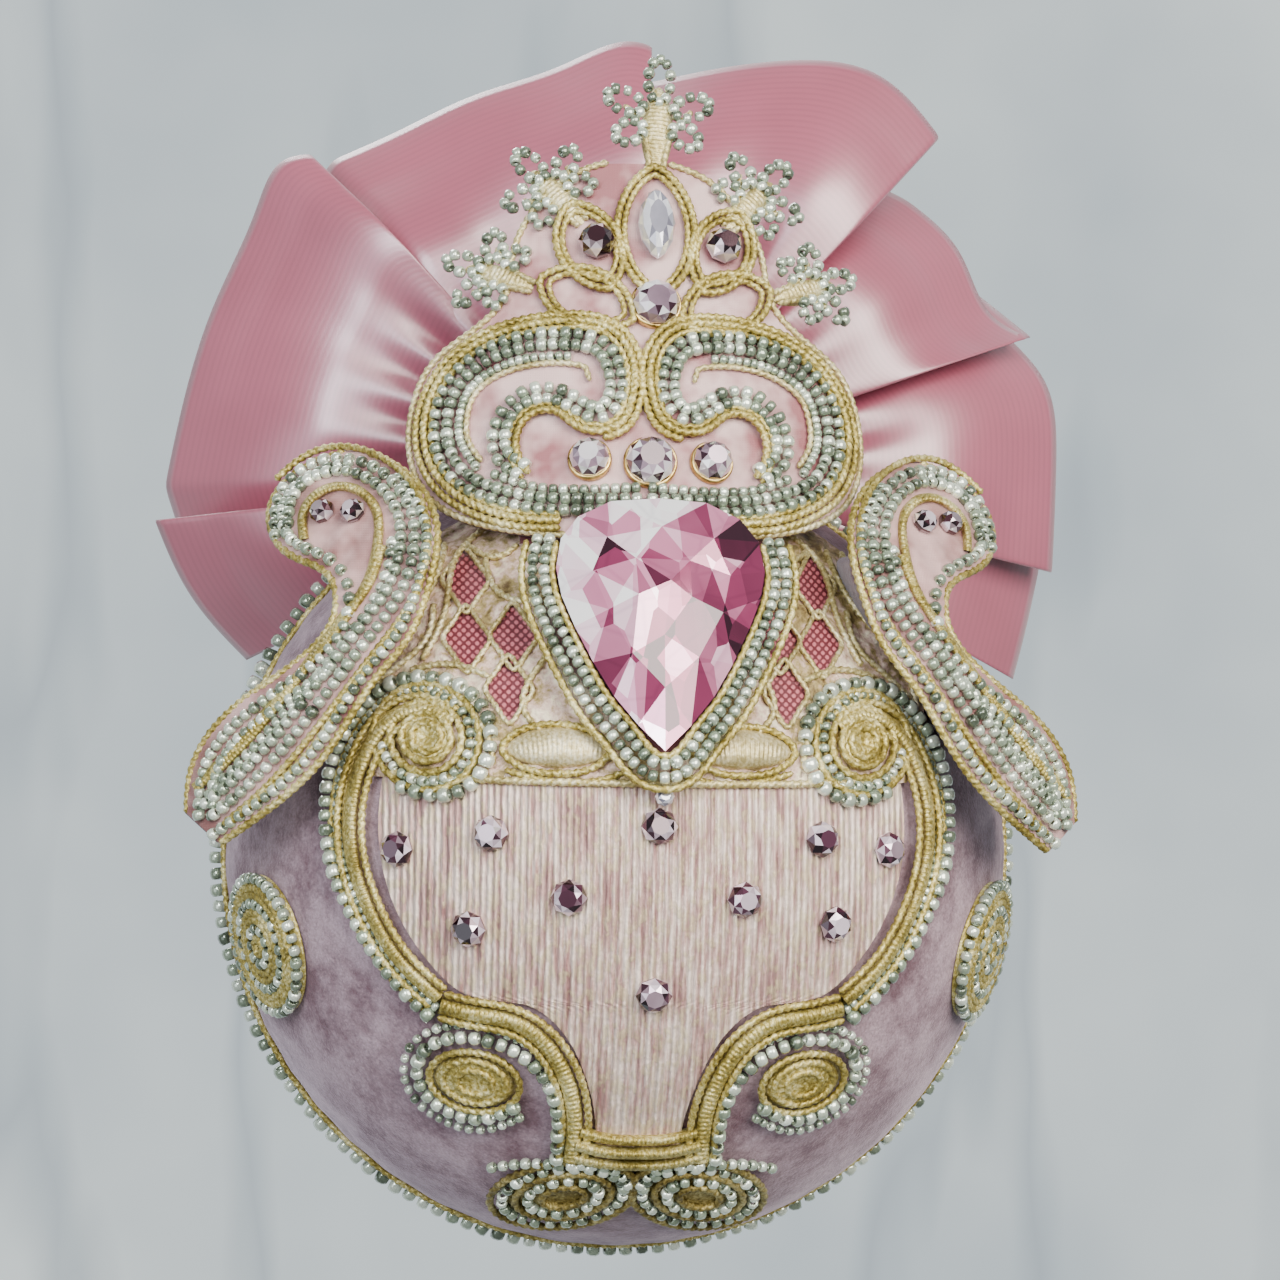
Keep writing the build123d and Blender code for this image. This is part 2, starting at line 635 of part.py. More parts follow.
# ---------------------------------------------------------------- hanging hardware
def eye_screw():
    loop = Pos(0, 0, eye_height) * Rot(90, 0, 0) * Torus(EYE_INNER_RADIUS + EYE_WIRE_RADIUS, EYE_WIRE_RADIUS)
    top = eye_height - EYE_INNER_RADIUS - EYE_WIRE_RADIUS
    shank = Pos(0, 0, CORE - SHANK_LENGTH + 1) * Cylinder(
        SHANK_RADIUS, top - CORE + SHANK_LENGTH - 1, align=(Align.CENTER, Align.CENTER, Align.MIN))
    return loop + shank


def bead_cap():
    """Turned dome under the eye, resting on the velvet."""
    dome_radius = (CAP_RADIUS ** 2 + CAP_RISE ** 2) / (2 * CAP_RISE)
    dome = Pos(0, 0, cap_crest - dome_radius) * Sphere(dome_radius)
    column = Pos(0, 0, BALL) * Cylinder(CAP_RADIUS, 8)
    hole = Pos(0, 0, BALL) * Cylinder(SHANK_RADIUS + FIT, 12)
    return (dome & column) - Sphere(BALL) - hole


def hanging_ring():
    """Flat double ring: the small hole is on the eye and the large one is left for the hook."""
    lower = Pos(link_drop, 0, 0)
    plate = Cylinder(RING_HOLE_RADIUS + RING_WALL, RING_THICKNESS)
    plate += lower * Cylinder(LINK_HOLE_RADIUS + RING_WALL, RING_THICKNESS)
    plate -= Cylinder(RING_HOLE_RADIUS, RING_THICKNESS)
    plate -= lower * Cylinder(LINK_HOLE_RADIUS, RING_THICKNESS)
    return Pos(0, 0, ring_centre_z) * Rot(0, 90, 0) * plate


# ---------------------------------------------------------------- assembly
def pair(nodes, name, right):
    """Adds a right-hand piece and its mirror image."""
    nodes[name + "_right"] = right
    nodes[name + "_left"] = flip(right)


def build():
    nodes = {"foam_core": foam_core(), "velvet_back": velvet_back()}
    nodes["velvet_front"] = mirror(nodes["velvet_back"], Plane.XZ)
    nodes["seam_piping"] = seam_piping()
    nodes["bead_trim"] = bead_trim()

    nodes["brocade_panel"] = brocade_panel()
    pair(nodes, "shield_rail", shield_rail())
    nodes["rail_beads"] = Compound([rail_beads(), flip(rail_beads())])
    nodes["volute_beads"] = Compound([volute_beads(), flip(volute_beads())])
    nodes["volute_eyes"] = Compound([volute_eye(), flip(volute_eye())])
    pair(nodes, "lower_scroll", lower_scroll())
    nodes["lower_beads"] = Compound([lower_beads(), flip(lower_beads())])
    nodes["lower_rosettes"] = Compound([lower_rosette(), flip(lower_rosette())])
    nodes["base_band"] = base_band()
    pair(nodes, "base_scroll", base_scroll())
    pair(nodes, "side_rosette", side_rosette())
    nodes["panel_rhinestones"] = Compound([rhinestone(spot) for spot in RHINESTONES])

    nodes["yoke_net"] = yoke_net()
    nodes["yoke_lace"] = yoke_lace()
    pair(nodes, "leaf_pad", leaf_pad())
    nodes["drop_stone"] = drop_stone()
    nodes["drop_setting"] = drop_setting()
    nodes["drop_edging"] = drop_edging()
    nodes["drop_bead"] = drop_bead()

    pair(nodes, "wing_backing", wing_backing())
    nodes["wing_pads"] = Compound([wing_pad(), flip(wing_pad())])
    pair(nodes, "wing_cords", Compound(wing_strips([WING_EDGE_CORD, WING_INNER_CORD], 0.8)))
    pair(nodes, "wing_beads", Compound(wing_strips([WING_CURL_BEADS], 1.3)))
    stones = [wing_stone(spot) for spot in WING_STONES]
    nodes["wing_stones"] = Compound(stones + [flip(stone) for stone in stones])

    nodes["crown_felt"] = crown_felt()
    nodes["crown_fabric"] = crown_fabric()
    nodes["crown_pad"] = crown_pad()
    pair(nodes, "crown_scroll", crown_strip(CROWN_SCROLL, CROWN_CORD))
    pair(nodes, "crown_beads", crown_strip(CROWN_BEADS, 2.8))
    nodes["palmette_cords"] = Compound(palmette_cords())
    nodes["crown_marquise"] = crown_stone(MARQUISE_AT, marquise(*MARQUISE_SIZE))
    nodes["crown_round_stones"] = Compound([crown_stone(at, Circle(r)) for at, r in ROUND_STONES])
    nodes["palmette_stones"] = Compound([crown_stone(at, Circle(r)) for at, r in PALMETTE_STONES])
    for name, (centre, turn, reach) in FINIALS.items():
        nodes["finial_" + name] = finial(centre, turn, reach)

    nodes["ribbon_ruffle"] = ribbon_ruffle()
    nodes["ruffle_backing"] = ruffle_backing()

    nodes["eye_screw"] = eye_screw()
    nodes["bead_cap"] = bead_cap()
    nodes["hanging_ring"] = hanging_ring()
    return nodes


for node_name, solid in build().items():
    export_step(Pos(0, 0, -ring_centre_z) * solid, os.path.join("parts", node_name + ".step"))
print("nodes written, ring centre", round(ring_centre_z, 3), "above the ball centre")
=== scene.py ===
"""Looks of an embroidered velvet Christmas ball with a beaded crown and a ribbon fan.

Inside the classes lengths are in millimetres from the centre of the ball: -Y is the decorated
front, +Z is up and +X is the viewer's right. Workshop puts each finished mesh into the frame,
in metres. A layout point is an (x, z) pair seen from the front, laid on a Ground.
"""
from __future__ import annotations

import logging
import math
from dataclasses import dataclass, field
from enum import Enum
from typing import Any, Callable, Iterable, Sequence

import bmesh
import bpy
import numpy as np
from mathutils import Matrix, Vector


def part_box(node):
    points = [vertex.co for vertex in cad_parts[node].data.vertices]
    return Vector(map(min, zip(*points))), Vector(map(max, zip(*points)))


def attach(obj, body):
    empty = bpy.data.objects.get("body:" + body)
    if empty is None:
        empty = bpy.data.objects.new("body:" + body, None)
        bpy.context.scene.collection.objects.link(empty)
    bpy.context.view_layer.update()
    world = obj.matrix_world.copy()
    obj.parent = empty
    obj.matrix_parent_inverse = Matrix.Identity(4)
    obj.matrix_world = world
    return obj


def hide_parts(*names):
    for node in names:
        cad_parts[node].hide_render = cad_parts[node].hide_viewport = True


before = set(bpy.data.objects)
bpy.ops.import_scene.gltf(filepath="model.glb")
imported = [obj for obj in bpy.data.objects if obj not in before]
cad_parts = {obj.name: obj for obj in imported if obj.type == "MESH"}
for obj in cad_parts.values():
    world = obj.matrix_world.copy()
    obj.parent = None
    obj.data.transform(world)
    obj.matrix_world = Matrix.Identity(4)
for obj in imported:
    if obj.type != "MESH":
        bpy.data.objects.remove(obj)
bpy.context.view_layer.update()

LOG = logging.getLogger("ornament")
MM = 0.001
TAU = 2 * math.pi
TRIM_GAP = 6.4      # half of the arc left free of trim beads under the eye, mm
TRIM_LIFT = 0.46    # height of a trim bead's bore above the ball, in bead sizes
TRIM_PITCH = 0.98   # distance between trim beads, in bead sizes
TRIM_Y = -0.7       # the trim's plane, mm
PIPING_Y = -4.0     # the piping's plane, mm
PIPING_SINK = 0.05  # how far inside the ball's largest circle the piping's middle runs, mm
PIPING_RADIUS = 0.42  # half of the piping's thickness, mm
LENS_MM, SENSOR_MM = 98.2, 36.0
CAMERA_PLACE = (3.2, -450.0, 27.3)  # from the shown middle, before the turn, mm
CAMERA_TURN, CAMERA_ROLL = -5.0, -0.9  # about the upright and about the view, degrees
BODY = "ornament"
Array = np.ndarray
Pairs = Sequence[tuple[float, float]]


# ------------------------------------------------------------------ layout of the embroidery
LOWER_SCROLL: Pairs = [
    (23.6, -15.4), (19.5, -16.2), (15.3, -16.9), (11.6, -19.3), (8.9, -23.5), (7.6, -28.6), (7.7, -34.4),
]
WING_INNER_EDGE: Pairs = [
    (49.6, 2.6), (44.0, 6.8), (38.0, 12.6), (34.7, 17.6), (31.6, 22.5), (28.2, 26.8), (25.5, 33.5),
    (24.8, 41.3), (28.2, 47.0), (33.0, 49.6),
]
WING_OUTER_EDGE: Pairs = [
    (53.6, 5.8), (53.2, 11.0), (49.6, 17.2), (44.4, 21.5), (39.2, 25.6), (36.4, 30.2), (37.2, 34.4),
    (42.3, 37.2), (44.6, 42.0), (41.0, 47.6), (35.4, 49.8),
]
WING_EDGE_CORD: Pairs = [
    (25.9, 42.0), (25.7, 38.0), (26.6, 33.6), (28.8, 28.8), (32.2, 24.2), (35.8, 19.0), (39.2, 13.8),
    (44.2, 8.8), (48.8, 4.8),
]
WING_CURL_BEADS: Pairs = [
    (43.0, 39.4), (42.4, 44.6), (37.6, 48.0), (31.8, 46.6), (28.5, 42.2), (28.2, 37.4), (29.8, 32.4),
    (33.4, 27.2), (37.4, 21.8), (41.4, 16.4), (46.0, 11.0), (50.8, 6.6),
]
WING_INNER_CORD: Pairs = [
    (40.4, 38.8), (40.6, 42.2), (38.2, 45.0), (34.4, 45.2), (31.7, 42.6), (31.4, 38.6), (32.2, 34.6),
    (34.8, 29.8), (38.8, 24.6), (43.4, 19.0), (47.6, 14.2), (52.0, 9.4),
]
WING_STONES: Pairs = [(37.9, 41.9), (34.3, 41.9)]
CROWN_EDGE: Pairs = [
    (8.0, 1.8), (19.5, 4.6), (25.4, 9.2), (27.6, 15.0), (27.4, 21.4), (25.0, 26.8), (20.0, 30.2),
    (16.4, 34.0), (15.4, 39.5), (12.6, 45.6), (8.6, 49.4), (3.6, 51.2),
]
CROWN_SCROLL: Pairs = [
    (13.6, 9.8), (15.0, 12.8), (14.9, 15.6), (13.2, 17.7), (10.6, 17.8), (8.2, 15.8), (5.2, 14.9),
    (2.6, 16.0), (1.3, 18.8), (1.3, 24.8), (3.6, 28.2), (8.5, 29.6), (14.0, 29.4), (19.3, 28.1),
    (23.6, 24.9), (25.7, 20.6), (25.8, 15.2), (23.8, 10.4), (19.2, 6.2), (14.5, 4.2), (9.8, 3.6),
]
CROWN_BEADS: Pairs = [
    (14.6, 10.6), (16.9, 13.0), (16.9, 16.4), (14.6, 19.6), (10.8, 20.1), (7.6, 18.2), (5.2, 17.2), (3.5, 19.0),
    (3.3, 22.4), (4.6, 25.6), (8.8, 27.2), (14.0, 27.3), (19.0, 26.0), (22.5, 23.2), (23.9, 19.4),
    (23.8, 15.0), (21.8, 10.8), (18.4, 8.2), (14.4, 6.5), (9.4, 5.6), (0.9, 5.3),
]
LEAF_PAD: Pairs = [
    (4.8, 14.6), (7.0, 16.8), (11.0, 17.5), (15.0, 16.7), (17.0, 14.6), (14.4, 12.4), (10.8, 11.9),
    (7.2, 12.4),
]
RAIL_STRAND: Pairs = [
    (25.0, -16.6), (29.4, -12.2), (33.2, -6.6), (36.0, -0.8), (37.2, 6.0), (36.6, 12.0), (34.0, 17.6), (30.4, 21.4),
    (26.0, 22.6), (21.6, 21.6), (18.8, 18.4), (18.6, 13.8), (20.6, 10.4), (24.2, 9.0), (28.4, 9.8),
]
RAIL_BAND: Pairs = [
    (23.8, -14.6), (28.4, -10.4), (31.8, -5.0), (34.0, 1.4), (34.2, 8.0), (32.6, 13.6), (29.8, 17.6), (26.0, 19.0),
    (22.6, 17.6),
]
LOWER_STRAND: Pairs = [
    (9.4, -34.0), (9.5, -30.8), (10.0, -26.8), (11.8, -23.2), (14.4, -20.8), (18.0, -19.4), (22.4, -19.4),
    (25.6, -21.6), (25.6, -25.4), (22.4, -28.4), (18.2, -29.2), (14.8, -27.6),
]
YOKE_SIDE: Pairs = [
    (31.5, 10.9), (33.6, 15.0), (34.4, 20.0), (33.0, 25.6), (30.6, 30.6), (28.0, 35.6), (24.0, 40.0), (14.0, 43.6),
    (2.0, 44.8),
]
RHINESTONES: Pairs = [
    (0.9, 6.0), (0.7, -13.3), (-9.2, -2.2), (10.9, -2.3), (-18.1, 4.8), (20.1, 4.5), (-28.6, 2.6),
    (28.6, 3.1), (-20.4, -6.2), (21.9, -5.3),
]
LACE_WINDOWS: Pairs = [(15.6, 27.6), (16.2, 21.4), (21.0, 34.2), (21.0, 27.2)]


# ------------------------------------------------------------------ shader graphs
class Value:
    """A shader socket that can be used in arithmetic."""

    def __init__(self, graph: "Graph", socket: bpy.types.NodeSocket) -> None:
        """Wraps a socket of a graph."""
        self.graph = graph
        self.socket = socket

    def _math(self, operation: str, first: Any, second: Any) -> "Value":
        """Adds one Math node and returns its result."""
        return self.graph.node("ShaderNodeMath", {"operation": operation}, {0: first, 1: second})

    def __add__(self, other: Any) -> "Value":
        """Sum."""
        return self._math("ADD", self, other)

    __radd__ = __add__

    def __mul__(self, other: Any) -> "Value":
        """Product."""
        return self._math("MULTIPLY", self, other)

    __rmul__ = __mul__

    def __sub__(self, other: Any) -> "Value":
        """Difference."""
        return self._math("SUBTRACT", self, other)

    def __rsub__(self, other: Any) -> "Value":
        """Difference from a number."""
        return self._math("SUBTRACT", other, self)


class Graph:
    """The nodes of one material."""

    def __init__(self, name: str) -> None:
        """Starts a material that has only a Principled shader and its output."""
        self.material = bpy.data.materials.new(name)
        self.material.use_nodes = True
        self.tree = self.material.node_tree
        self.tree.nodes.clear()
        self.output = self.tree.nodes.new("ShaderNodeOutputMaterial")
        self.shader = self.tree.nodes.new("ShaderNodeBsdfPrincipled")
        self.tree.links.new(self.shader.outputs[0], self.output.inputs[0])

    def put(self, socket: bpy.types.NodeSocket, value: Any) -> None:
        """Links a Value to a socket, or sets it to a number or colour."""
        if isinstance(value, Value):
            self.tree.links.new(value.socket, socket)
        elif isinstance(value, tuple) and len(value) == 3 and socket.type == "RGBA":
            socket.default_value = (*value, 1.0)
        else:
            socket.default_value = value

    def node(self, kind: str, settings: dict[str, Any] | None = None,
             inputs: dict[int | str, Any] | None = None, output: int | str = 0) -> Value:
        """Adds a node.

        Args:
            kind: The node's type.
            settings: Its properties, set first; "stops" are a colour ramp's (place, colour) pairs.
            inputs: Values or links of its sockets, by name or number.
            output: The output socket that is wanted.

        Returns:
            That output.
        """
        made = self.tree.nodes.new(kind)
        for key, value in (settings or {}).items():
            if key == "stops":
                ramp = made.color_ramp
                while len(ramp.elements) < len(value):
                    ramp.elements.new(0.5)
                for element, (place, colour) in zip(ramp.elements, value):
                    element.position = place
                    element.color = (*colour, 1.0)
            else:
                setattr(made, key, value)
        for key, value in (inputs or {}).items():
            self.put(made.inputs[key], value)
        return Value(self, made.outputs[output])

    def place(self) -> Value:
        """Object coordinates."""
        return self.node("ShaderNodeTexCoord", output="Object")

    def uv(self) -> Value:
        """The piece's own UV map."""
        return self.node("ShaderNodeTexCoord", output="UV")

    def stretched(self, source: Value, scale: tuple[float, float, float]) -> Value:
        """Coordinates multiplied along each axis."""
        return self.node("ShaderNodeMapping", inputs={"Vector": source, "Scale": scale})

    def noise(self, source: Value, scale: float, detail: float = 3.0, rough: float = 0.55) -> Value:
        """Soft noise from 0 to 1."""
        inputs = {"Vector": source, "Scale": scale, "Detail": detail, "Roughness": rough}
        return self.node("ShaderNodeTexNoise", inputs=inputs)

    def waves(self, source: Value, scale: float, distortion: float = 0.0, axis: str = "X") -> Value:
        """Straight bands, from 0 to 1."""
        settings = {"wave_type": "BANDS", "bands_direction": axis}
        return self.node("ShaderNodeTexWave", settings,
                         {"Vector": source, "Scale": scale, "Distortion": distortion,
                          "Detail": 2.0, "Detail Scale": 2.0}, output="Fac")

    def attribute(self, name: str) -> Value:
        """A number kept on the mesh."""
        return self.node("ShaderNodeAttribute", {"attribute_name": name}, output="Fac")

    def ramp(self, factor: Value, *stops: tuple[float, tuple[float, float, float]]) -> Value:
        """Colours along a factor."""
        return self.node("ShaderNodeValToRGB", {"stops": list(stops)}, {0: factor})

    def mix(self, factor: Any, first: Any, second: Any, mode: str = "MIX") -> Value:
        """Two colours mixed by a factor."""
        return self.node("ShaderNodeMix", {"data_type": "RGBA", "blend_type": mode},
                         {0: factor, 6: first, 7: second}, output=2)

    def bump(self, height: Value, strength: float, distance: float) -> None:
        """Raises the surface by a height."""
        raised = self.node("ShaderNodeBump", inputs={"Strength": strength, "Distance": distance, "Height": height})
        self.set("Normal", raised)

    def set(self, name: str, value: Any) -> None:
        """Sets or links an input of the shader."""
        self.put(self.shader.inputs[name], value)


def colour(code: str) -> tuple[float, float, float]:
    """Linear colour of a six-digit sRGB code."""
    parts = [int(code[i:i + 2], 16) / 255 for i in (0, 2, 4)]
    return tuple(p / 12.92 if p <= 0.04045 else ((p + 0.055) / 1.055) ** 2.4 for p in parts)


# ------------------------------------------------------------------ finishes
@dataclass(frozen=True)
class Finish:
    """A material with a name; each kind paints itself on a graph."""

    name: str

    def material(self) -> bpy.types.Material:
        """The material, made once."""
        known = bpy.data.materials.get(self.name)
        if known:
            return known
        graph = Graph(self.name)
        self.paint(graph)
        return graph.material

    def paint(self, graph: Graph) -> None:
        """Builds the nodes."""
        raise NotImplementedError


@dataclass(frozen=True)
class Velvet(Finish):
    """Short pile that lies in lighter and darker patches; the lighter tone is painted sheen."""

    deep: str = "6C5059"
    # lit is a painted sheen tone: the highlight of the crushed pile
    lit: str = "AE969F"

    def paint(self, graph: Graph) -> None:
        """Pile patches whose lighter tone is painted sheen, fine grain and a soft sheen."""
        place = graph.place()
        patches = graph.noise(place, 120, 6, 0.75)
        grain = graph.noise(place, 2600, 2)
        # Patches of crushed pile at random: the darker end is the pile's own tone, the lighter end is painted sheen.
        tone = graph.ramp(patches, (0.38, colour(self.deep)), (0.60, colour(self.lit)))
        fine = graph.ramp(grain, (0.3, (0.55, 0.55, 0.55)), (0.7, (1.0, 1.0, 1.0)))
        graph.set("Base Color", graph.mix(0.7, tone, fine, "MULTIPLY"))
        graph.set("Roughness", 0.86)
        graph.set("Sheen Weight", 0.55)
        graph.set("Sheen Roughness", 0.35)
        graph.set("Sheen Tint", (*colour("D8C8D4"), 1.0))
        graph.bump(grain * 0.7 + patches * 1.5, 0.5, 0.0004)


@dataclass(frozen=True)
class Satin(Finish):
    """Smooth ribbon with fine ribs across its width; UV runs in millimetres."""

    base: str = "A24C62"
    deep: str = "8A384C"

    def paint(self, graph: Graph) -> None:
        """Ribs along V, slight colour drift and a silky gloss."""
        uv = graph.uv()
        ribs = graph.waves(graph.stretched(uv, (0.03, 1.0, 1.0)), 0.36, 0.8, "Y")
        weave = graph.noise(graph.stretched(uv, (0.5, 9.0, 1.0)), 1.4, 3, 0.6)
        drift = graph.noise(uv, 0.06, 2)
        tone = graph.mix(drift, colour(self.base), colour(self.deep))
        stripe = graph.ramp(ribs, (0.1, (0.80, 0.76, 0.78)), (0.6, (1, 1, 1)))
        graph.set("Base Color", graph.mix(0.55, tone, stripe, "MULTIPLY"))
        graph.set("Roughness", 0.36 + weave * 0.12)
        graph.set("Specular IOR Level", 1.0)
        graph.set("Coat IOR", 1.8)
        graph.set("Coat Weight", 1.0)
        graph.set("Coat Roughness", 0.36)
        graph.set("Sheen Weight", 0.2)
        graph.bump(ribs * 0.6 + weave * 0.5, 0.10, 0.0002)


@dataclass(frozen=True)
class Brocade(Finish):
    """Ribbed panel cloth of pale gold and pink yarns."""

    def paint(self, graph: Graph) -> None:
        """Upright ribs with streaks of two yarns and knots of gold."""
        place = graph.place()
        ribs = graph.waves(place, 420, 0.9)
        streak = graph.noise(graph.stretched(place, (900, 60, 110)), 1.0, 3, 0.7)
        knots = graph.noise(graph.stretched(place, (1100, 500, 640)), 1.0, 2, 0.6)
        yarn = graph.ramp(streak, (0.32, colour("8E6460")), (0.46, colour("C49E94")), (0.58, colour("ECD8C8")))
        gold = graph.ramp(knots, (0.42, colour("6E5C30")), (0.62, colour("D2C494")))
        tone = graph.mix(graph.ramp(knots, (0.46, (0, 0, 0)), (0.6, (0.55, 0.55, 0.55))), yarn, gold)
        shade = graph.ramp(ribs, (0.1, (0.52, 0.48, 0.5)), (0.55, (1, 1, 1)))
        graph.set("Base Color", graph.mix(0.75, tone, shade, "MULTIPLY"))
        graph.set("Roughness", 0.62 - streak * 0.15)
        graph.set("Metallic", knots * 0.3)
        graph.set("Sheen Weight", 0.2)
        graph.bump(ribs * 0.8 + knots * 0.9, 0.75, 0.0005)


@dataclass(frozen=True)
class GoldThread(Finish):
    """Metallic thread in darker and lighter tones that vary at random."""

    dark: str = "6A5A1E"
    mid: str = "A8984E"
    light: str = "E4DAA0"

    def paint(self, graph: Graph) -> None:
        """Thread tones from fine noise, with a half-metal gloss."""
        place = graph.place()
        fibres = graph.noise(place, 2400, 2, 0.6)
        drift = graph.noise(place, 190, 3, 0.6)
        tone = graph.ramp(fibres * 0.55 + drift * 0.45, (0.36, colour(self.dark)), (0.50, colour(self.mid)),
                          (0.64, colour(self.light)))
        graph.set("Base Color", tone)
        graph.set("Metallic", 0.55)
        graph.set("Roughness", 0.34 + drift * 0.3)
        graph.bump(fibres, 0.5, 0.0002)


@dataclass(frozen=True)
class Lace(Finish):
    """Gold and pink lace ground; "open" on the mesh bares the net."""

    def paint(self, graph: Graph) -> None:
        """Mottled thread over pink, with a net of fine holes in the open places."""
        place = graph.place()
        threads = graph.noise(place, 900, 4, 0.7)
        motif = graph.noise(place, 210, 4, 0.6)
        bare = graph.attribute("open")
        mesh_a = graph.waves(graph.stretched(place, (1.0, 0.0, 1.0)), 620, 0.3, "DIAGONAL")
        mesh_b = graph.waves(graph.stretched(place, (-1.0, 0.0, 1.0)), 620, 0.3, "DIAGONAL")
        net = graph.ramp(mesh_a * mesh_b, (0.05, colour("5A1A24")), (0.5, colour("B8646C")))
        ground = graph.ramp(motif * 0.6 + threads * 0.4, (0.36, colour("5A4626")), (0.45, colour("9C8A58")),
                            (0.52, colour("CDAFA0")), (0.60, colour("E8DCBE")))
        graph.set("Base Color", graph.mix(bare, ground, net))
        graph.set("Roughness", 0.5 + threads * 0.2)
        graph.set("Metallic", (1 - bare) * 0.25)
        graph.bump(threads * 0.8 + motif * 1.4, 0.8, 0.0006)


@dataclass(frozen=True)
class Cloth(Finish):
    """Plain woven satin under the crown and wings."""

    pale: str = "CFAFAB"
    deep: str = "8E5458"

    def paint(self, graph: Graph) -> None:
        """Fine weave with soft patches of a deeper tone that vary at random."""
        place = graph.place()
        weave = graph.waves(place, 1500, 0.4) * graph.waves(place, 1500, 0.4, "Z")
        drift = graph.noise(place, 120, 3, 0.6)
        graph.set("Base Color", graph.ramp(drift, (0.38, colour(self.deep)), (0.60, colour(self.pale))))
        graph.set("Roughness", 0.45 + weave * 0.2)
        graph.set("Sheen Weight", 0.3)
        graph.bump(weave, 0.25, 0.0002)


@dataclass(frozen=True)
class Felt(Finish):
    """Matted wool."""

    tone: str = "8E6468"

    def paint(self, graph: Graph) -> None:
        """Fuzz from two noises."""
        place = graph.place()
        fuzz = graph.noise(place, 1800, 4, 0.7)
        drift = graph.noise(place, 150, 2)
        shade = graph.ramp(fuzz * 0.7 + drift * 0.3, (0.3, (0.45, 0.45, 0.45)), (0.7, (1, 1, 1)))
        graph.set("Base Color", graph.mix(0.6, colour(self.tone), shade, "MULTIPLY"))
        graph.set("Roughness", 0.95)
        graph.set("Sheen Weight", 0.3)
        graph.bump(fuzz, 0.6, 0.0004)


@dataclass(frozen=True)
class BeadGlass(Finish):
    """Silver-lined seed beads whose tone is kept on the mesh as "tint"."""

    dark: str = "343C2C"
    mid: str = "96A48C"
    light: str = "EAF2E0"

    def paint(self, graph: Graph) -> None:
        """Tone of each bead, with a bright glassy coat."""
        tint = graph.attribute("tint")
        speck = graph.noise(graph.place(), 1500, 1)
        tone = graph.ramp(tint * 0.8 + speck * 0.25, (0.06, colour(self.dark)), (0.42, colour(self.mid)),
                          (0.90, colour(self.light)))
        graph.set("Base Color", tone)
        graph.set("Metallic", 0.5)
        graph.set("Roughness", 0.12 + speck * 0.12)
        graph.set("Coat Weight", 0.8)
        graph.set("Coat Roughness", 0.05)


@dataclass(frozen=True)
class CutStone(Finish):
    """Foil-backed stone whose facets each carry a tone, "tint", that paints their reflections from dark to white."""

    dark: str = "201A24"
    mid: str = "8C8490"
    light: str = "FFFFFF"
    metal: float = 0.65

    def paint(self, graph: Graph) -> None:
        """Facet tones, painted reflections from dark to white round the stone's own middle tone, under a clear
        polished coat.
        """
        tint = graph.attribute("tint")
        veil = graph.noise(graph.place(), 420, 2)
        # Painted reflection: the facet tint and veil give dark facets, the stone's own mid tone and white glints.
        tone = graph.ramp(tint * 0.9 + veil * 0.12, (0.12, colour(self.dark)), (0.48, colour(self.mid)),
                          (0.86, colour(self.light)))
        graph.set("Base Color", tone)
        graph.set("Metallic", self.metal)
        graph.set("Roughness", 0.05 + veil * 0.06)
        graph.set("Coat Weight", 1.0)
        graph.set("Coat Roughness", 0.02)


@dataclass(frozen=True)
class ShardStone(Finish):
    """Large foiled stone with painted reflections: each facet has its tone, and the cuts behind it show as shards."""

    def paint(self, graph: Graph) -> None:
        """Painted reflections: facet tones mixed with those of broken cells, darker and pinker towards the foot,
        lighter towards the top and darker towards the right, with darker lines along the cells' edges.
        """
        place = graph.place()
        warp = graph.noise(place, 160, 2)
        cells = graph.node("ShaderNodeTexVoronoi", {"feature": "F1"},
                           {"Vector": graph.stretched(place, (1.0, 0.4, 0.62)), "Scale": 300.0, "Randomness": 1.0},
                           output="Color")
        shard = graph.node("ShaderNodeSeparateColor", inputs={0: cells}, output=0)
        edges = graph.node("ShaderNodeTexVoronoi", {"feature": "DISTANCE_TO_EDGE"},
                           {"Vector": graph.stretched(place, (0.8, 0.4, 1.0)), "Scale": 210.0})
        # Painted reflection: the facet tints from pear_cut, lighter at the top and darker at the right, mixed with
        # shard tones.
        amount = graph.attribute("tint") * 0.56 + shard * 0.40 + warp * 0.06
        tone = graph.ramp(amount, (0.16, colour("2E0A1C")), (0.34, colour("8A3458")), (0.50, colour("D284A4")),
                          (0.64, colour("F4CCDC")), (0.78, colour("FFFFFF")))
        # Painted darker lines where the shards meet, standing for the cuts seen through the stone.
        glint = graph.ramp(edges, (0.0, (0.75, 0.7, 0.75)), (0.06, (1.0, 1.0, 1.0)))
        graph.set("Base Color", graph.mix(0.5, tone, glint, "MULTIPLY"))
        graph.set("Metallic", 0.35)
        graph.set("Roughness", 0.05 + warp * 0.05)
        graph.set("Coat Weight", 1.0)
        graph.set("Coat Roughness", 0.02)


@dataclass(frozen=True)
class GiltMetal(Finish):
    """Thin gold plating with rubbed edges."""

    def paint(self, graph: Graph) -> None:
        """Gold that dulls in patches."""
        wear = graph.noise(graph.place(), 700, 4, 0.65)
        graph.set("Base Color", graph.ramp(wear, (0.35, colour("8E7338")), (0.6, colour("E2C57E"))))
        graph.set("Metallic", 1.0)
        graph.set("Roughness", 0.18 + wear * 0.25)
        graph.bump(wear, 0.15, 0.0001)


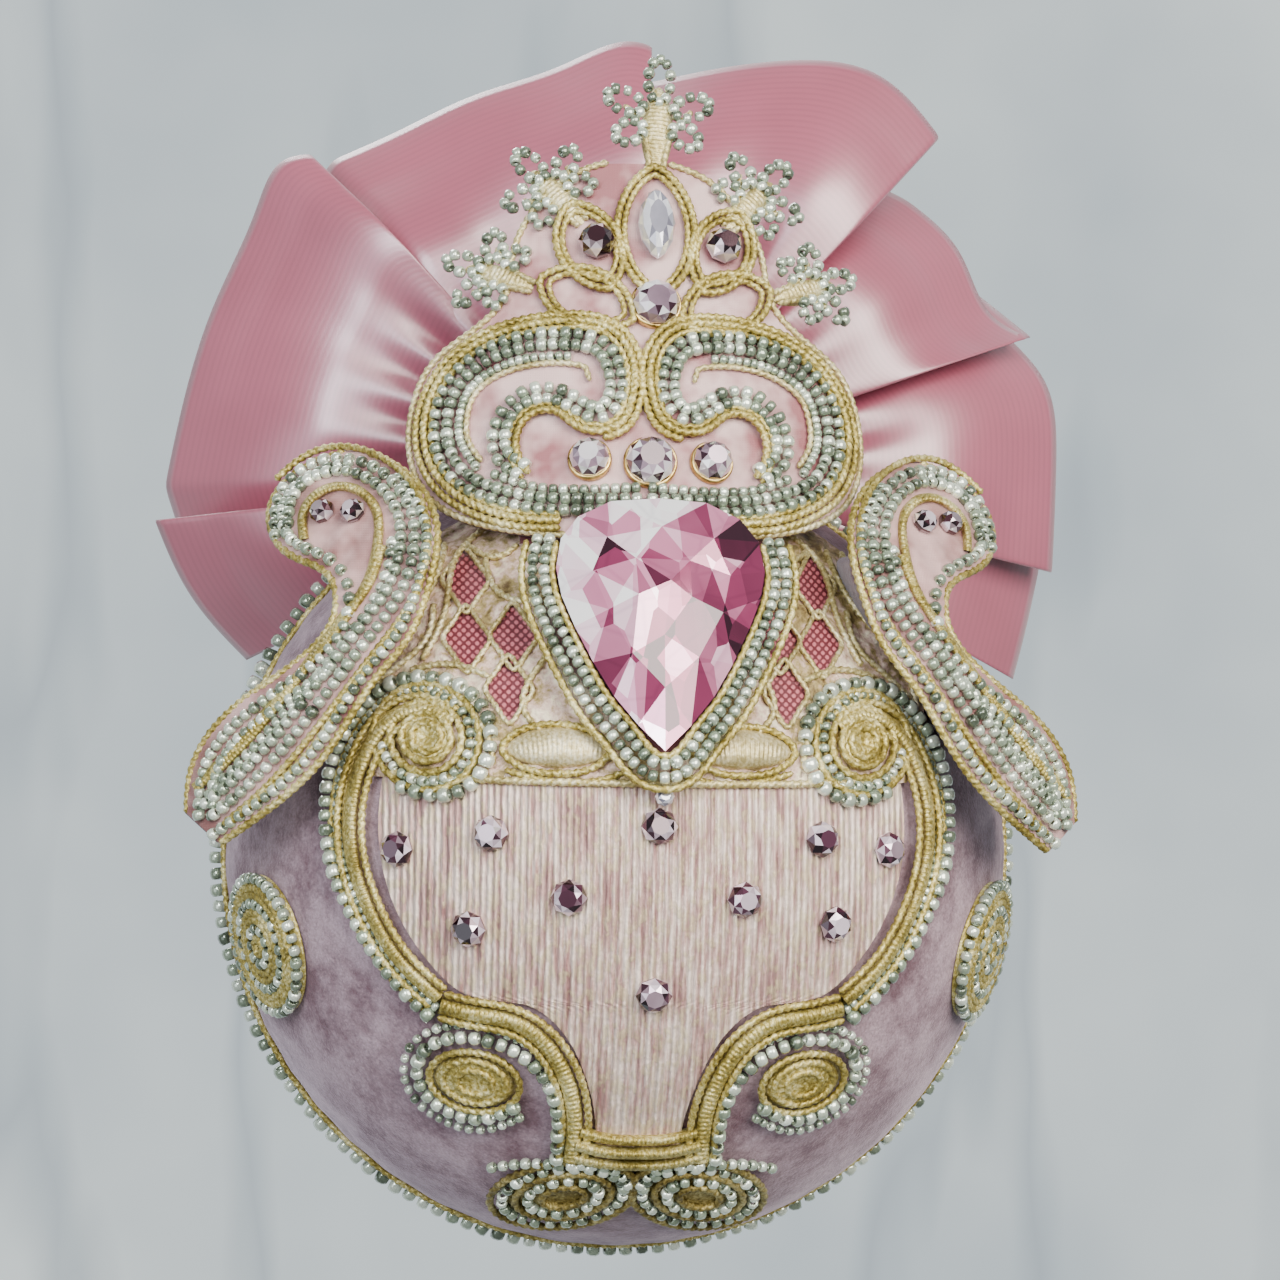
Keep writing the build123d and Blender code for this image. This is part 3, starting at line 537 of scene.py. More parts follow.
@dataclass(frozen=True)
class Foam(Finish):
    """Moulded bead foam."""

    def paint(self, graph: Graph) -> None:
        """Cells pressed together."""
        cells = graph.node("ShaderNodeTexVoronoi", {"feature": "DISTANCE_TO_EDGE"},
                           {"Vector": graph.place(), "Scale": 420.0})
        graph.set("Base Color", graph.ramp(cells, (0.0, colour("C8C8C4")), (0.1, colour("F2F2EE"))))
        graph.set("Roughness", 0.8)
        graph.bump(cells, 0.4, 0.0003)


@dataclass(frozen=True)
class Marble(Finish):
    """Pale polished marble with soft grey veins, lit from within so that it stays even."""

    def paint(self, graph: Graph) -> None:
        """Cloudy ground with a few stretched veins."""
        place = graph.place()
        clouds = graph.noise(place, 3.2, 4, 0.55)
        bent = graph.node("ShaderNodeMapping",
                          inputs={"Vector": place, "Rotation": (0.0, 0.62, 0.0), "Scale": (4.2, 1.0, 0.9)})
        veins = graph.noise(bent, 1.3, 4, 0.5)
        pale = graph.ramp(clouds, (0.35, colour("B9C6CD")), (0.60, colour("D9E3E4")))
        tone = graph.mix(graph.ramp(veins, (0.46, (0, 0, 0)), (0.50, (0.55, 0.55, 0.55)), (0.54, (0, 0, 0))), pale,
                         colour("98A4AE"))
        graph.set("Base Color", (0.02, 0.02, 0.02))
        graph.set("Emission Color", tone)
        graph.set("Emission Strength", 1.25)
        graph.set("Roughness", 1.0)


VELVET = Velvet("mauve_velvet")
SATIN = Satin("pink_satin_ribbon")
BROCADE = Brocade("ribbed_brocade")
GOLD = GoldThread("gold_passing_thread")
PALE_GOLD = GoldThread("pale_gold_thread", "8A7A44", "C0B27A", "F0E8C4")
CREAM_GOLD = GoldThread("cream_gold_thread", "A69660", "D2C494", "F4ECCE")
DEEP_GOLD = GoldThread("deep_gold_thread", "4A3C12", "84743A", "BCB078")
LACE = Lace("gold_lace_cloth")
CROWN_CLOTH = Cloth("crown_satin")
WING_CLOTH = Cloth("wing_satin", "BC9894", "7A4C48")
FELT = Felt("rose_felt")
SETTING_FELT = Felt("setting_felt", "5C2C30")
WAD_FELT = Felt("mauve_wad_felt", "745862")
BEADS = BeadGlass("green_silver_beads")
PLUM_STONE = CutStone("plum_foiled_stone", "1A060E", "5E3448", "F6E4F0", 0.45)
CLEAR_STONE = CutStone("rose_clear_stone", "3A1E2C", "B49AAC", "FFFFFF", 0.4)
WHITE_STONE = CutStone("white_stone", "7C7A88", "DCDCE6", "FFFFFF", 0.35)
DARK_STONE = CutStone("dark_red_stone", "180A10", "4A2630", "E8D8E0", 0.5)
PINK_STONE = ShardStone("pink_drop_stone")
GILT = GiltMetal("gilt_metal")
FOAM = Foam("ball_foam")


# ------------------------------------------------------------------ shapes
@dataclass
class Shape:
    """Points, faces, UVs and numbers of one mesh, before it becomes an object."""

    points: Array
    faces: list[Array]
    uv: Array | None = None
    numbers: dict[str, Array] = field(default_factory=dict)
    face_numbers: dict[str, Array] = field(default_factory=dict)

    @staticmethod
    def joined(parts: Iterable["Shape"]) -> "Shape":
        """One shape of several, which all carry the same numbers."""
        parts = list(parts)
        offsets = np.cumsum([0] + [len(p.points) for p in parts])
        faces = [f + start for p, start in zip(parts, offsets) for f in p.faces]
        uv = None if any(p.uv is None for p in parts) else np.concatenate([p.uv for p in parts])
        numbers = {k: np.concatenate([p.numbers[k] for p in parts]) for k in parts[0].numbers}
        facets = {k: np.concatenate([p.face_numbers[k] for p in parts]) for k in parts[0].face_numbers}
        return Shape(np.concatenate([p.points for p in parts]), faces, uv, numbers, facets)

    def mirrored(self) -> "Shape":
        """The same shape on the other side, with its faces turned to point outwards."""
        flip = np.array([-1.0, 1.0, 1.0])
        return Shape(self.points * flip, [f[:, ::-1] for f in self.faces], self.uv, self.numbers, self.face_numbers)


def grid_faces(rows: int, columns: int, wrap_rows: bool = False, wrap_columns: bool = False) -> Array:
    """Quads of a grid of points stored row by row.

    Args:
        rows: Points along the first direction.
        columns: Points along the second direction.
        wrap_rows: Whether the last row joins the first.
        wrap_columns: Whether the last column joins the first.

    Returns:
        Four point numbers for each quad.
    """
    i, j = np.meshgrid(np.arange(rows if wrap_rows else rows - 1),
                       np.arange(columns if wrap_columns else columns - 1), indexing="ij")
    i2, j2 = (i + 1) % rows, (j + 1) % columns
    corners = (i * columns + j, i * columns + j2, i2 * columns + j2, i2 * columns + j)
    return np.stack([c.ravel() for c in corners], 1)


def curve_through(points: Pairs | Array, spacing: float, closed: bool = False) -> Array:
    """Smooth curve through points, as evenly spaced points.

    A natural cubic through the points over their running chord length, sampled finely and then
    taken again at even arc length.

    Args:
        points: The points it passes through.
        spacing: Distance between the points wanted.
        closed: Whether it returns to its start, which is then not repeated.

    Returns:
        The points along the curve.
    """
    known = np.asarray(points, float)
    if closed:
        wrap = min(4, len(known))
        known = np.concatenate([known[-wrap:], known, known[:wrap + 1]])
    chord = np.concatenate([[0], np.cumsum(np.linalg.norm(np.diff(known, axis=0), axis=1))])
    gap, slope = np.diff(chord), np.diff(known, axis=0) / np.diff(chord)[:, None]
    size = len(known)
    system, right = np.eye(size), np.zeros_like(known)
    inner = np.arange(1, size - 1)
    system[inner, inner - 1] = gap[:-1]
    system[inner, inner] = 2 * (gap[:-1] + gap[1:])
    system[inner, inner + 1] = gap[1:]
    right[inner] = 6 * np.diff(slope, axis=0)
    bend = np.linalg.solve(system, right)
    start, stop = (chord[wrap], chord[-wrap - 1]) if closed else (0.0, chord[-1])
    fine = np.linspace(start, stop, 60 * size)
    k = np.clip(np.searchsorted(chord, fine, side="right") - 1, 0, size - 2)
    a, h = (fine - chord[k])[:, None], gap[k][:, None]
    b = h - a
    curve = ((bend[k] * b ** 3 + bend[k + 1] * a ** 3) / (6 * h)
             + (known[k] / h - bend[k] * h / 6) * b + (known[k + 1] / h - bend[k + 1] * h / 6) * a)
    length = np.concatenate([[0], np.cumsum(np.linalg.norm(np.diff(curve, axis=0), axis=1))])
    count = max(4, int(round(length[-1] / spacing)))
    even = np.linspace(0, length[-1], count + 1)
    if closed:
        even = even[:-1]
    return np.stack([np.interp(even, length, curve[:, c]) for c in range(curve.shape[1])], 1)


def ring_points(centre: tuple[float, float], radii: tuple[float, float], spacing: float, turn: float = 0.0) -> Array:
    """Evenly counted points round an oval, anticlockwise."""
    around = TAU * (radii[0] + radii[1]) / 2
    angles = np.linspace(0, TAU, max(6, int(round(around / spacing))), endpoint=False)
    x, z = radii[0] * np.cos(angles), radii[1] * np.sin(angles)
    c, s = math.cos(turn), math.sin(turn)
    return np.stack([centre[0] + c * x - s * z, centre[1] + s * x + c * z], 1)


def shifted(path: Array, offset: float, closed: bool = False) -> Array:
    """Layout path moved sideways: positive is to the right of its run."""
    ahead = np.roll(path, -1, 0) - np.roll(path, 1, 0)
    if not closed:
        ahead[0], ahead[-1] = path[1] - path[0], path[-1] - path[-2]
    ahead /= np.linalg.norm(ahead, axis=1)[:, None]
    return path + offset * np.stack([ahead[:, 1], -ahead[:, 0]], 1)


class Ground:
    """A surface that the layout is laid on."""

    def place(self, x: Array, z: Array, height: Array | float = 0.0) -> Array:
        """Points above the surface, at layout places."""
        raise NotImplementedError

    def normal(self, x: Array, z: Array) -> Array:
        """Outward directions at layout places."""
        up, down = self.place(x, z, 1.0), self.place(x, z, 0.0)
        way = up - down
        return way / np.linalg.norm(way, axis=-1, keepdims=True)


@dataclass(frozen=True)
class RoundGround(Ground):
    """Front of a ball whose centre may be set back: y = setback - sqrt(r^2 - x^2 - z^2)."""

    radius: float
    setback: float = 0.0

    def place(self, x: Array, z: Array, height: Array | float = 0.0) -> Array:
        """Points on the ball that is larger by the height."""
        reach = np.maximum((self.radius + height) ** 2 - x ** 2 - z ** 2, 0.01)
        return np.stack([x, self.setback - np.sqrt(reach), z + 0 * x], -1)

    def normal(self, x: Array, z: Array) -> Array:
        """Directions away from the ball's centre."""
        way = self.place(x, z) - np.array([0, self.setback, 0])
        return way / np.linalg.norm(way, axis=-1, keepdims=True)


@dataclass(frozen=True)
class CrownGround(Ground):
    """Plate bent round an upright cylinder, standing on its foot and leaning back."""

    radius: float
    foot: tuple[float, float, float]
    lean: float

    def _turned(self, y: Array, z: Array) -> tuple[Array, Array]:
        """Turns the plate back about its foot."""
        c, s = math.cos(math.radians(self.lean)), math.sin(math.radians(self.lean))
        return y * c + z * s, z * c - y * s

    def place(self, x: Array, z: Array, height: Array | float = 0.0) -> Array:
        """Points on the cylinder that is larger by the height, turned back."""
        depth = self.radius - np.sqrt((self.radius + height) ** 2 - x ** 2)
        y, up = self._turned(depth, z + 0 * x)
        return np.stack([x + self.foot[0], y + self.foot[1], up + self.foot[2]], -1)

    def normal(self, x: Array, z: Array) -> Array:
        """Directions away from the cylinder's axis."""
        y, up = self._turned(-np.sqrt(self.radius ** 2 - x ** 2) / self.radius, 0 * x)
        return np.stack([x / self.radius, y, up + 0 * x], -1)


@dataclass(frozen=True)
class SpotGround(Ground):
    """Patch of the ball round a spot; the layout is in arc lengths from the spot."""

    radius: float
    azimuth: float
    elevation: float

    def place(self, x: Array, z: Array, height: Array | float = 0.0) -> Array:
        """Points reached by walking the arc from the spot."""
        az, el = math.radians(self.azimuth), math.radians(self.elevation)
        out = np.array([math.sin(az) * math.cos(el), -math.cos(az) * math.cos(el), math.sin(el)])
        side = np.array([math.cos(az), math.sin(az), 0.0])
        up = np.cross(side, out) * -1
        span = np.sqrt(x ** 2 + z ** 2) + 1e-9
        arc = span / self.radius
        way = (np.cos(arc)[..., None] * out
               + (np.sin(arc) / span)[..., None] * (x[..., None] * side + z[..., None] * up))
        return way * (self.radius + np.asarray(height + 0 * x)[..., None])


# ------------------------------------------------------------------ makers of embroidery
@dataclass(frozen=True)
class Needle:
    """Makes stitched and beaded shapes on a ground; random draws are seeded."""

    ground: Ground
    seed: int = 1

    def frames(self, path: Array, height: Array | float, closed: bool = False) -> tuple[Array, Array, Array, Array]:
        """Places, runs, outward directions and sides along a layout path."""
        spots = self.ground.place(path[:, 0], path[:, 1], height)
        out = self.ground.normal(path[:, 0], path[:, 1])
        run = np.roll(spots, -1, 0) - np.roll(spots, 1, 0)
        if not closed:
            run[0], run[-1] = spots[1] - spots[0], spots[-1] - spots[-2]
        run /= np.linalg.norm(run, axis=1)[:, None]
        side = np.cross(run, out)
        side /= np.linalg.norm(side, axis=1)[:, None]
        return spots, run, out, side

    def cord(self, points: Pairs | Array, radius: float, height: float, closed: bool = False,
             pitch: float = 1.3, sides: int = 10, swell: float = 0.2) -> Shape:
        """Twisted cord couched along a path.

        The section is a circle whose radius swells twice round it, r = radius * (1 + swell *
        cos(2 * (angle - twist))), and the twist turns once in each pitch along the path.
        """
        path = curve_through(points, pitch / 6, closed)
        spots, _, out, side = self.frames(path, height, closed)
        steps = np.arange(len(path))[:, None]
        angle = np.linspace(0, TAU, sides, endpoint=False)[None, :]
        twist = TAU * steps / 12.0
        size = radius * (1 + swell * np.cos(2 * (angle - twist)))
        if not closed:
            size = size * np.clip(np.minimum(steps, len(path) - 1 - steps) / 2.0, 0.02, 1.0)
        points3 = (spots[:, None] + size[..., None] * (np.cos(angle)[..., None] * side[:, None]
                                                       + np.sin(angle)[..., None] * out[:, None]))
        faces = grid_faces(len(path), sides, closed, True)
        return Shape(points3.reshape(-1, 3), [faces[:, ::-1]])

    def satin(self, points: Pairs | Array, low: float, high: float, base: float, rise: float,
              closed: bool = False, stitch: float = 0.55, depth: float = 0.12, taper: bool = False) -> Shape:
        """Padded satin stitch between two offsets from a path.

        Across the band the height is a half ellipse, base + rise * sqrt(1 - v^2), and along it
        each stitch is a small ridge, depth * |sin(pi * length / stitch)|. The sides go down to
        the ground.
        """
        path = curve_through(points, stitch / 4, closed)
        v = np.concatenate([[-1.0], np.linspace(-1, 1, 9), [1.0]])
        steps = np.arange(len(path))
        ridge = depth * np.abs(np.sin(math.pi * steps / 4.0))[:, None]
        dome = rise * np.sqrt(np.maximum(1 - v ** 2, 0))[None, :]
        slim = np.ones(len(path))
        if taper:
            slim = np.sqrt(np.clip(np.sin(math.pi * (steps + 0.5) / len(path)), 0.0, 1.0))
        height = base + (dome + ridge * (1 - v ** 4)[None, :]) * slim[:, None]
        height[:, 0] = height[:, -1] = 0.0
        offsets = (low + high) / 2 + (high - low) / 2 * v
        grid = np.stack([shifted(path, offset, closed) for offset in offsets], 1)
        if taper:
            grid = path[:, None] + (grid - path[:, None]) * slim[:, None, None]
        places = self.ground.place(grid[..., 0], grid[..., 1], height)
        faces = grid_faces(len(path), len(offsets), closed)
        caps = [] if closed else [np.arange(len(offsets))[None, :],
                                  (np.arange(len(offsets)) + (len(path) - 1) * len(offsets))[None, ::-1]]
        return Shape(places.reshape(-1, 3), [faces] + caps)

    def dome(self, centre: tuple[float, float], radii: tuple[float, float], base: float, rise: float,
             turn: float = 0.0, spokes: int = 28, hollow: float = 0.0) -> Shape:
        """Stitched round or oval pad with threads running out from its middle.

        Height over the share r of the radius is base + rise * (1 - r^2)^0.5 less a dimple,
        hollow * (1 - r)^2, and each thread is a ridge round the middle.
        """
        share = np.concatenate([[1.0], np.linspace(1, 0.06, 8)])
        angle = np.linspace(0, TAU, spokes * 4, endpoint=False)
        c, s = math.cos(turn), math.sin(turn)
        lx = radii[0] * np.cos(angle)[None] * share[:, None]
        lz = radii[1] * np.sin(angle)[None] * share[:, None]
        x, z = centre[0] + c * lx - s * lz, centre[1] + s * lx + c * lz
        ridge = 0.12 * np.abs(np.sin(angle * spokes / 2))[None] * share[:, None]
        height = base + rise * np.sqrt(1 - share ** 2)[:, None] - hollow * ((1 - share) ** 2)[:, None] + ridge
        height[0] = 0.0
        rings = self.ground.place(x, z, height).reshape(-1, 3)
        top = self.ground.place(np.array([centre[0]]), np.array([centre[1]]), base + rise - hollow)
        count = len(angle)
        faces = grid_faces(len(share), count, False, True)
        last = (len(share) - 1) * count + np.arange(count)
        fan = np.stack([last, np.roll(last, -1), np.full(count, len(rings))], 1)
        return Shape(np.concatenate([rings, top]), [faces, fan])

    def beads(self, path: Array, diameter: float, height: float, closed: bool = False) -> Shape:
        """A seed bead at each point of a layout path, threaded along it.

        A bead is a short rounded tube: a closed profile of six points turned round its bore.
        """
        rng = np.random.default_rng(self.seed + len(path))
        spots, run, out, _ = self.frames(path, height, closed)
        profile = np.array([(0.22, -0.30), (0.40, -0.36), (0.50, -0.15), (0.50, 0.15), (0.40, 0.36), (0.22, 0.30)])
        turns = np.linspace(0, TAU, 8, endpoint=False)
        size = diameter * rng.uniform(0.88, 1.06, len(path))
        lean = rng.normal(0, 0.12, (len(path), 3))
        axis = run + lean
        axis /= np.linalg.norm(axis, axis=1)[:, None]
        second = np.cross(axis, out)
        second /= np.linalg.norm(second, axis=1)[:, None]
        third = np.cross(axis, second)
        local = np.stack([np.repeat(profile[:, 1], 8), (profile[:, :1] * np.cos(turns)).ravel(),
                          (profile[:, :1] * np.sin(turns)).ravel()], 1)
        basis = np.stack([axis, second, third], 1)
        points3 = spots[:, None] + size[:, None, None] * np.einsum("pk,nkc->npc", local, basis)
        faces = grid_faces(6, 8, True, True)
        every = (faces[None] + (np.arange(len(path)) * 48)[:, None, None]).reshape(-1, 4)
        tint = np.repeat(rng.beta(1.6, 1.7, len(path)), 48)
        return Shape(points3.reshape(-1, 3), [every], numbers={"tint": tint})

    def bead_rows(self, points: Pairs | Array, offsets: Sequence[float], diameter: float, height: float,
                  closed: bool = False) -> Shape:
        """Rows of beads side by side along a path."""
        path = curve_through(points, diameter * 0.86, closed)
        return Shape.joined(self.beads(shifted(path, offset, closed), diameter, height, closed) for offset in offsets)

    def patch(self, left: Array, right: Array, columns: int, height: Callable[[Array, Array], Array],
              open_at: Callable[[Array, Array], Array] | None = None) -> Shape:
        """Cloth stretched between two edges that have as many points: straight across, v from 0 to 1."""
        v = np.linspace(0, 1, columns)[None, :, None]
        grid = left[:, None] * (1 - v) + right[:, None] * v
        x, z = grid[..., 0], grid[..., 1]
        places = self.ground.place(x, z, height(x, z))
        numbers = {"open": open_at(x, z).ravel()} if open_at else {}
        uv = np.stack([x, z], -1).reshape(-1, 2)
        faces = grid_faces(len(left), columns)
        across, up = (right - left).sum(0), left[-1] - left[0]
        if across[0] * up[1] < across[1] * up[0]:
            faces = faces[:, ::-1]
        return Shape(places.reshape(-1, 3), [faces], uv, numbers)


def cut_stone(outline: Array, girdle: float, height: float, table: float, seed: int) -> Shape:
    """Faceted stone on its seat, in its own x, y and outward z.

    Rings of the outline: a base, a girdle at full size, a ring of half steps halfway in and a
    table. Triangles join the rings, each with its own random tone from dark to white, a painted
    reflection.
    """
    count = len(outline)
    middle = outline.mean(0)
    half = (outline + np.roll(outline, -1, 0)) / 2
    rings = [
        np.c_[middle + (outline - middle) * 0.90, np.zeros(count)],
        np.c_[outline, np.full(count, girdle * 0.6)],
        np.c_[outline, np.full(count, girdle)],
        np.c_[middle + (half - middle) * (0.42 + 0.58 * table + 0.16),
              np.full(count, girdle + (height - girdle) * 0.62)],
        np.c_[middle + (outline - middle) * table, np.full(count, height)],
    ]
    i = np.arange(count)
    j = (i + 1) % count
    walls = [np.stack([i, j, j + count, i + count], 1) + level * count for level in (0, 1)]
    lower = [np.stack([i + 2 * count, j + 2 * count, i + 3 * count], 1),
             np.stack([j + 2 * count, j + 3 * count, i + 3 * count], 1)]
    upper = [np.stack([i + 3 * count, j + 4 * count, i + 4 * count], 1),
             np.stack([i + 3 * count, j + 3 * count, j + 4 * count], 1)]
    faces = walls + lower + upper + [(i + 4 * count)[None, :], i[None, ::-1]]
    rng = np.random.default_rng(seed)
    amount = sum(len(f) for f in faces)
    # Painted reflection: each facet gets a random tone from dark to white.
    tint = rng.beta(0.8, 0.9, amount)
    return Shape(np.concatenate(rings), faces, face_numbers={"tint": tint})


def seated(shape: Shape, origin: Array, out: Array, up: Array = np.array([0.0, 0.0, 1.0])) -> Shape:
    """A shape moved from its own axes to a seat: its z points out, and its y as near up as can be."""
    out = out / np.linalg.norm(out)
    side = np.cross(up, out)
    side /= np.linalg.norm(side)
    basis = np.stack([side, np.cross(out, side), out])
    return Shape(origin + shape.points @ basis, shape.faces, shape.uv, shape.numbers, shape.face_numbers)


def oval(width: float, height: float, count: int) -> Array:
    """Round or oval outline, anticlockwise from its right."""
    angle = np.linspace(0, TAU, count, endpoint=False)
    return np.stack([width / 2 * np.cos(angle), height / 2 * np.sin(angle)], 1)


def pointed_oval(length: float, width: float, count: int) -> Array:
    """Outline of two arcs that meet in points at top and bottom: x = w/2 * sin^1.35, anticlockwise."""
    angle = np.linspace(-math.pi / 2, 1.5 * math.pi, count, endpoint=False)
    return np.stack([width / 2 * np.sign(np.cos(angle)) * np.abs(np.cos(angle)) ** 1.35,
                     length / 2 * np.sin(angle)], 1)


# ------------------------------------------------------------------ the workshop
class Workshop:
    """Turns shapes into objects that ride on the frame."""

    def __init__(self) -> None:
        """Reads the ball's centre and radius from the frame."""
        low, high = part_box("velvet_back")
        self.radius = (high.x - low.x) / 2 / MM
        self.centre = np.array([(low.x + high.x) / 2, 0.0, (low.z + high.z) / 2])
        self.triangles = 0

    def add(self, name: str, shape: Shape, finish: Finish, slot: str, *nodes: str,
            smooth: bool = True) -> bpy.types.Object:
        """Makes an object of a shape.

        Args:
            name: The piece's name.
            shape: Its mesh.
            finish: Its material.
            slot: Not used.
            nodes: CAD nodes that it stands for.
            smooth: Whether its faces are shaded smooth.

        Returns:
            The object, riding on the ornament.
        """
        mesh = bpy.data.meshes.new(name)
        faces = [face for block in shape.faces for face in block.tolist()]
        mesh.from_pydata((shape.points * MM + self.centre).tolist(), [], faces)
        mesh.polygons.foreach_set("use_smooth", np.full(len(faces), smooth))
        if shape.uv is not None:
            corners = np.zeros(len(mesh.loops), np.int32)
            mesh.loops.foreach_get("vertex_index", corners)
            mesh.uv_layers.new(name="UVMap").data.foreach_set("uv", shape.uv[corners].astype(np.float32).ravel())
        for domain, numbers in (("POINT", shape.numbers), ("FACE", shape.face_numbers)):
            for key, values in numbers.items():
                mesh.attributes.new(key, "FLOAT", domain).data.foreach_set("value", values.astype(np.float32))
        mesh.materials.append(finish.material())
        mesh.update()
        piece = bpy.data.objects.new(name, mesh)
        bpy.context.scene.collection.objects.link(piece)
        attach(piece, BODY)
        if nodes:
            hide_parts(*nodes)
        self.triangles += sum(len(f) - 2 for f in faces)
        LOG.info("%-26s %6d faces", name, len(faces))
        return piece

    def pair(self, name: str, shape: Shape, finish: Finish, slot: str, node: str = "", smooth: bool = True) -> None:
        """Makes a right-hand piece and its mirror image, each standing for its own CAD node."""
        for side, half in (("right", shape), ("left", shape.mirrored())):
            nodes = [f"{node}_{side}"] if node else []
            self.add(f"{name}_{side}", half, finish, slot, *nodes, smooth=smooth)

    def both(self, name: str, shape: Shape, finish: Finish, slot: str, *nodes: str,
             smooth: bool = True) -> bpy.types.Object:
        """Makes one piece of a shape and its mirror image."""
        return self.add(name, Shape.joined([shape, shape.mirrored()]), finish, slot, *nodes, smooth=smooth)


# ------------------------------------------------------------------ the ball
class Half(Enum):
    """Which half of the ball a velvet cover is for."""

    FRONT = -1
    BACK = 1


@dataclass
class Ball:
    """Velvet halves tucked into a slot, with a gold piping and a ring of beads over the seam."""

    shop: Workshop
    bead: float = 2.1
    tuck: float = 1.1

    def build(self) -> None:
        """Builds the covers and the trim."""
        self.cover(Half.FRONT)
        self.cover(Half.BACK)
        self.trim()

    def cover(self, half: Half) -> None:
        """Velvet stretched over one half.

        A point at angle a from the middle of the half lies at the ball's radius, with shallow
        puckers that grow towards the seam, and is drawn in by the tuck in the last degrees.
        """
        radius = self.shop.radius
        a = np.concatenate([np.linspace(2, 84, 44), np.linspace(85.5, 89.95, 6)])[:, None] * math.pi / 180
        b = np.linspace(0, TAU, 220, endpoint=False)[None, :]
        edge = (a / (math.pi / 2)) ** 8
        pucker = 0.14 * edge * np.sin(b * 46 + 1.7 * np.sin(b * 5)) + 0.10 * np.sin(3 * b + 4 * a) * np.sin(a * 5)
        drawn = self.tuck * np.clip((a - 1.48) / 0.09, 0, 1) ** 2
        r = radius - 0.12 + pucker - drawn
        ring = np.stack([r * np.sin(a) * np.cos(b), half.value * r * np.cos(a) + 0 * b, r * np.sin(a) * np.sin(b)], -1)
        pole = np.array([[0.0, half.value * radius, 0.0]])
        faces = grid_faces(a.shape[0], b.shape[1], False, True)
        first = np.arange(b.shape[1])
        fan = np.stack([np.roll(first, -1), first, np.full(len(first), a.shape[0] * b.shape[1])], 1)
        blocks = [faces, fan[:, ::-1]]
        if half is Half.FRONT:
            blocks = [block[:, ::-1] for block in blocks]
        blocks[1] = blocks[1][:, ::-1]
        name = "front" if half is Half.FRONT else "back"
        cloth = self.shop.add(f"velvet_cover_{name}", Shape(np.concatenate([ring.reshape(-1, 3), pole]), blocks),
                              VELVET, "velvet", f"velvet_{name}")

    def trim(self) -> None:
        """Beads threaded round the seam, and the twisted piping in front of them.

        Both run round the ball's largest circle, (r cos t, y, r sin t), and leave room for the
        cap at the top.
        """
        gap = TRIM_GAP / self.shop.radius
        radius = self.shop.radius + self.bead * TRIM_LIFT
        count = int((TAU - 2 * gap) * radius / (self.bead * TRIM_PITCH))
        t = np.linspace(math.pi / 2 + gap, math.pi / 2 + TAU - gap, count)
        needle = Needle(Rim(radius, TRIM_Y), seed=7)
        beads = needle.beads(np.stack([t * radius, 0 * t], 1), self.bead, 0.0)
        self.shop.add("bead_trim_row", beads, BEADS, "beads", "bead_trim")
        fine = np.linspace(math.pi / 2 + gap, math.pi / 2 + TAU - gap, 60)
        rim = Rim(self.shop.radius - PIPING_SINK, PIPING_Y)
        piping = Needle(rim).cord(np.stack([fine * rim.radius, 0 * fine], 1), PIPING_RADIUS, 0.0, pitch=1.0)
        self.shop.add("seam_piping_cord", piping, GOLD, "gold_thread", "seam_piping")


@dataclass(frozen=True)
class Rim(Ground):
    """The ball's largest circle: the layout is (arc length, y)."""

    radius: float
    shift: float

    def place(self, x: Array, z: Array, height: Array | float = 0.0) -> Array:
        """Points round the circle, at a height above it."""
        r = self.radius + height
        angle = x / self.radius
        return np.stack([r * np.cos(angle), self.shift + z, r * np.sin(angle)], -1)


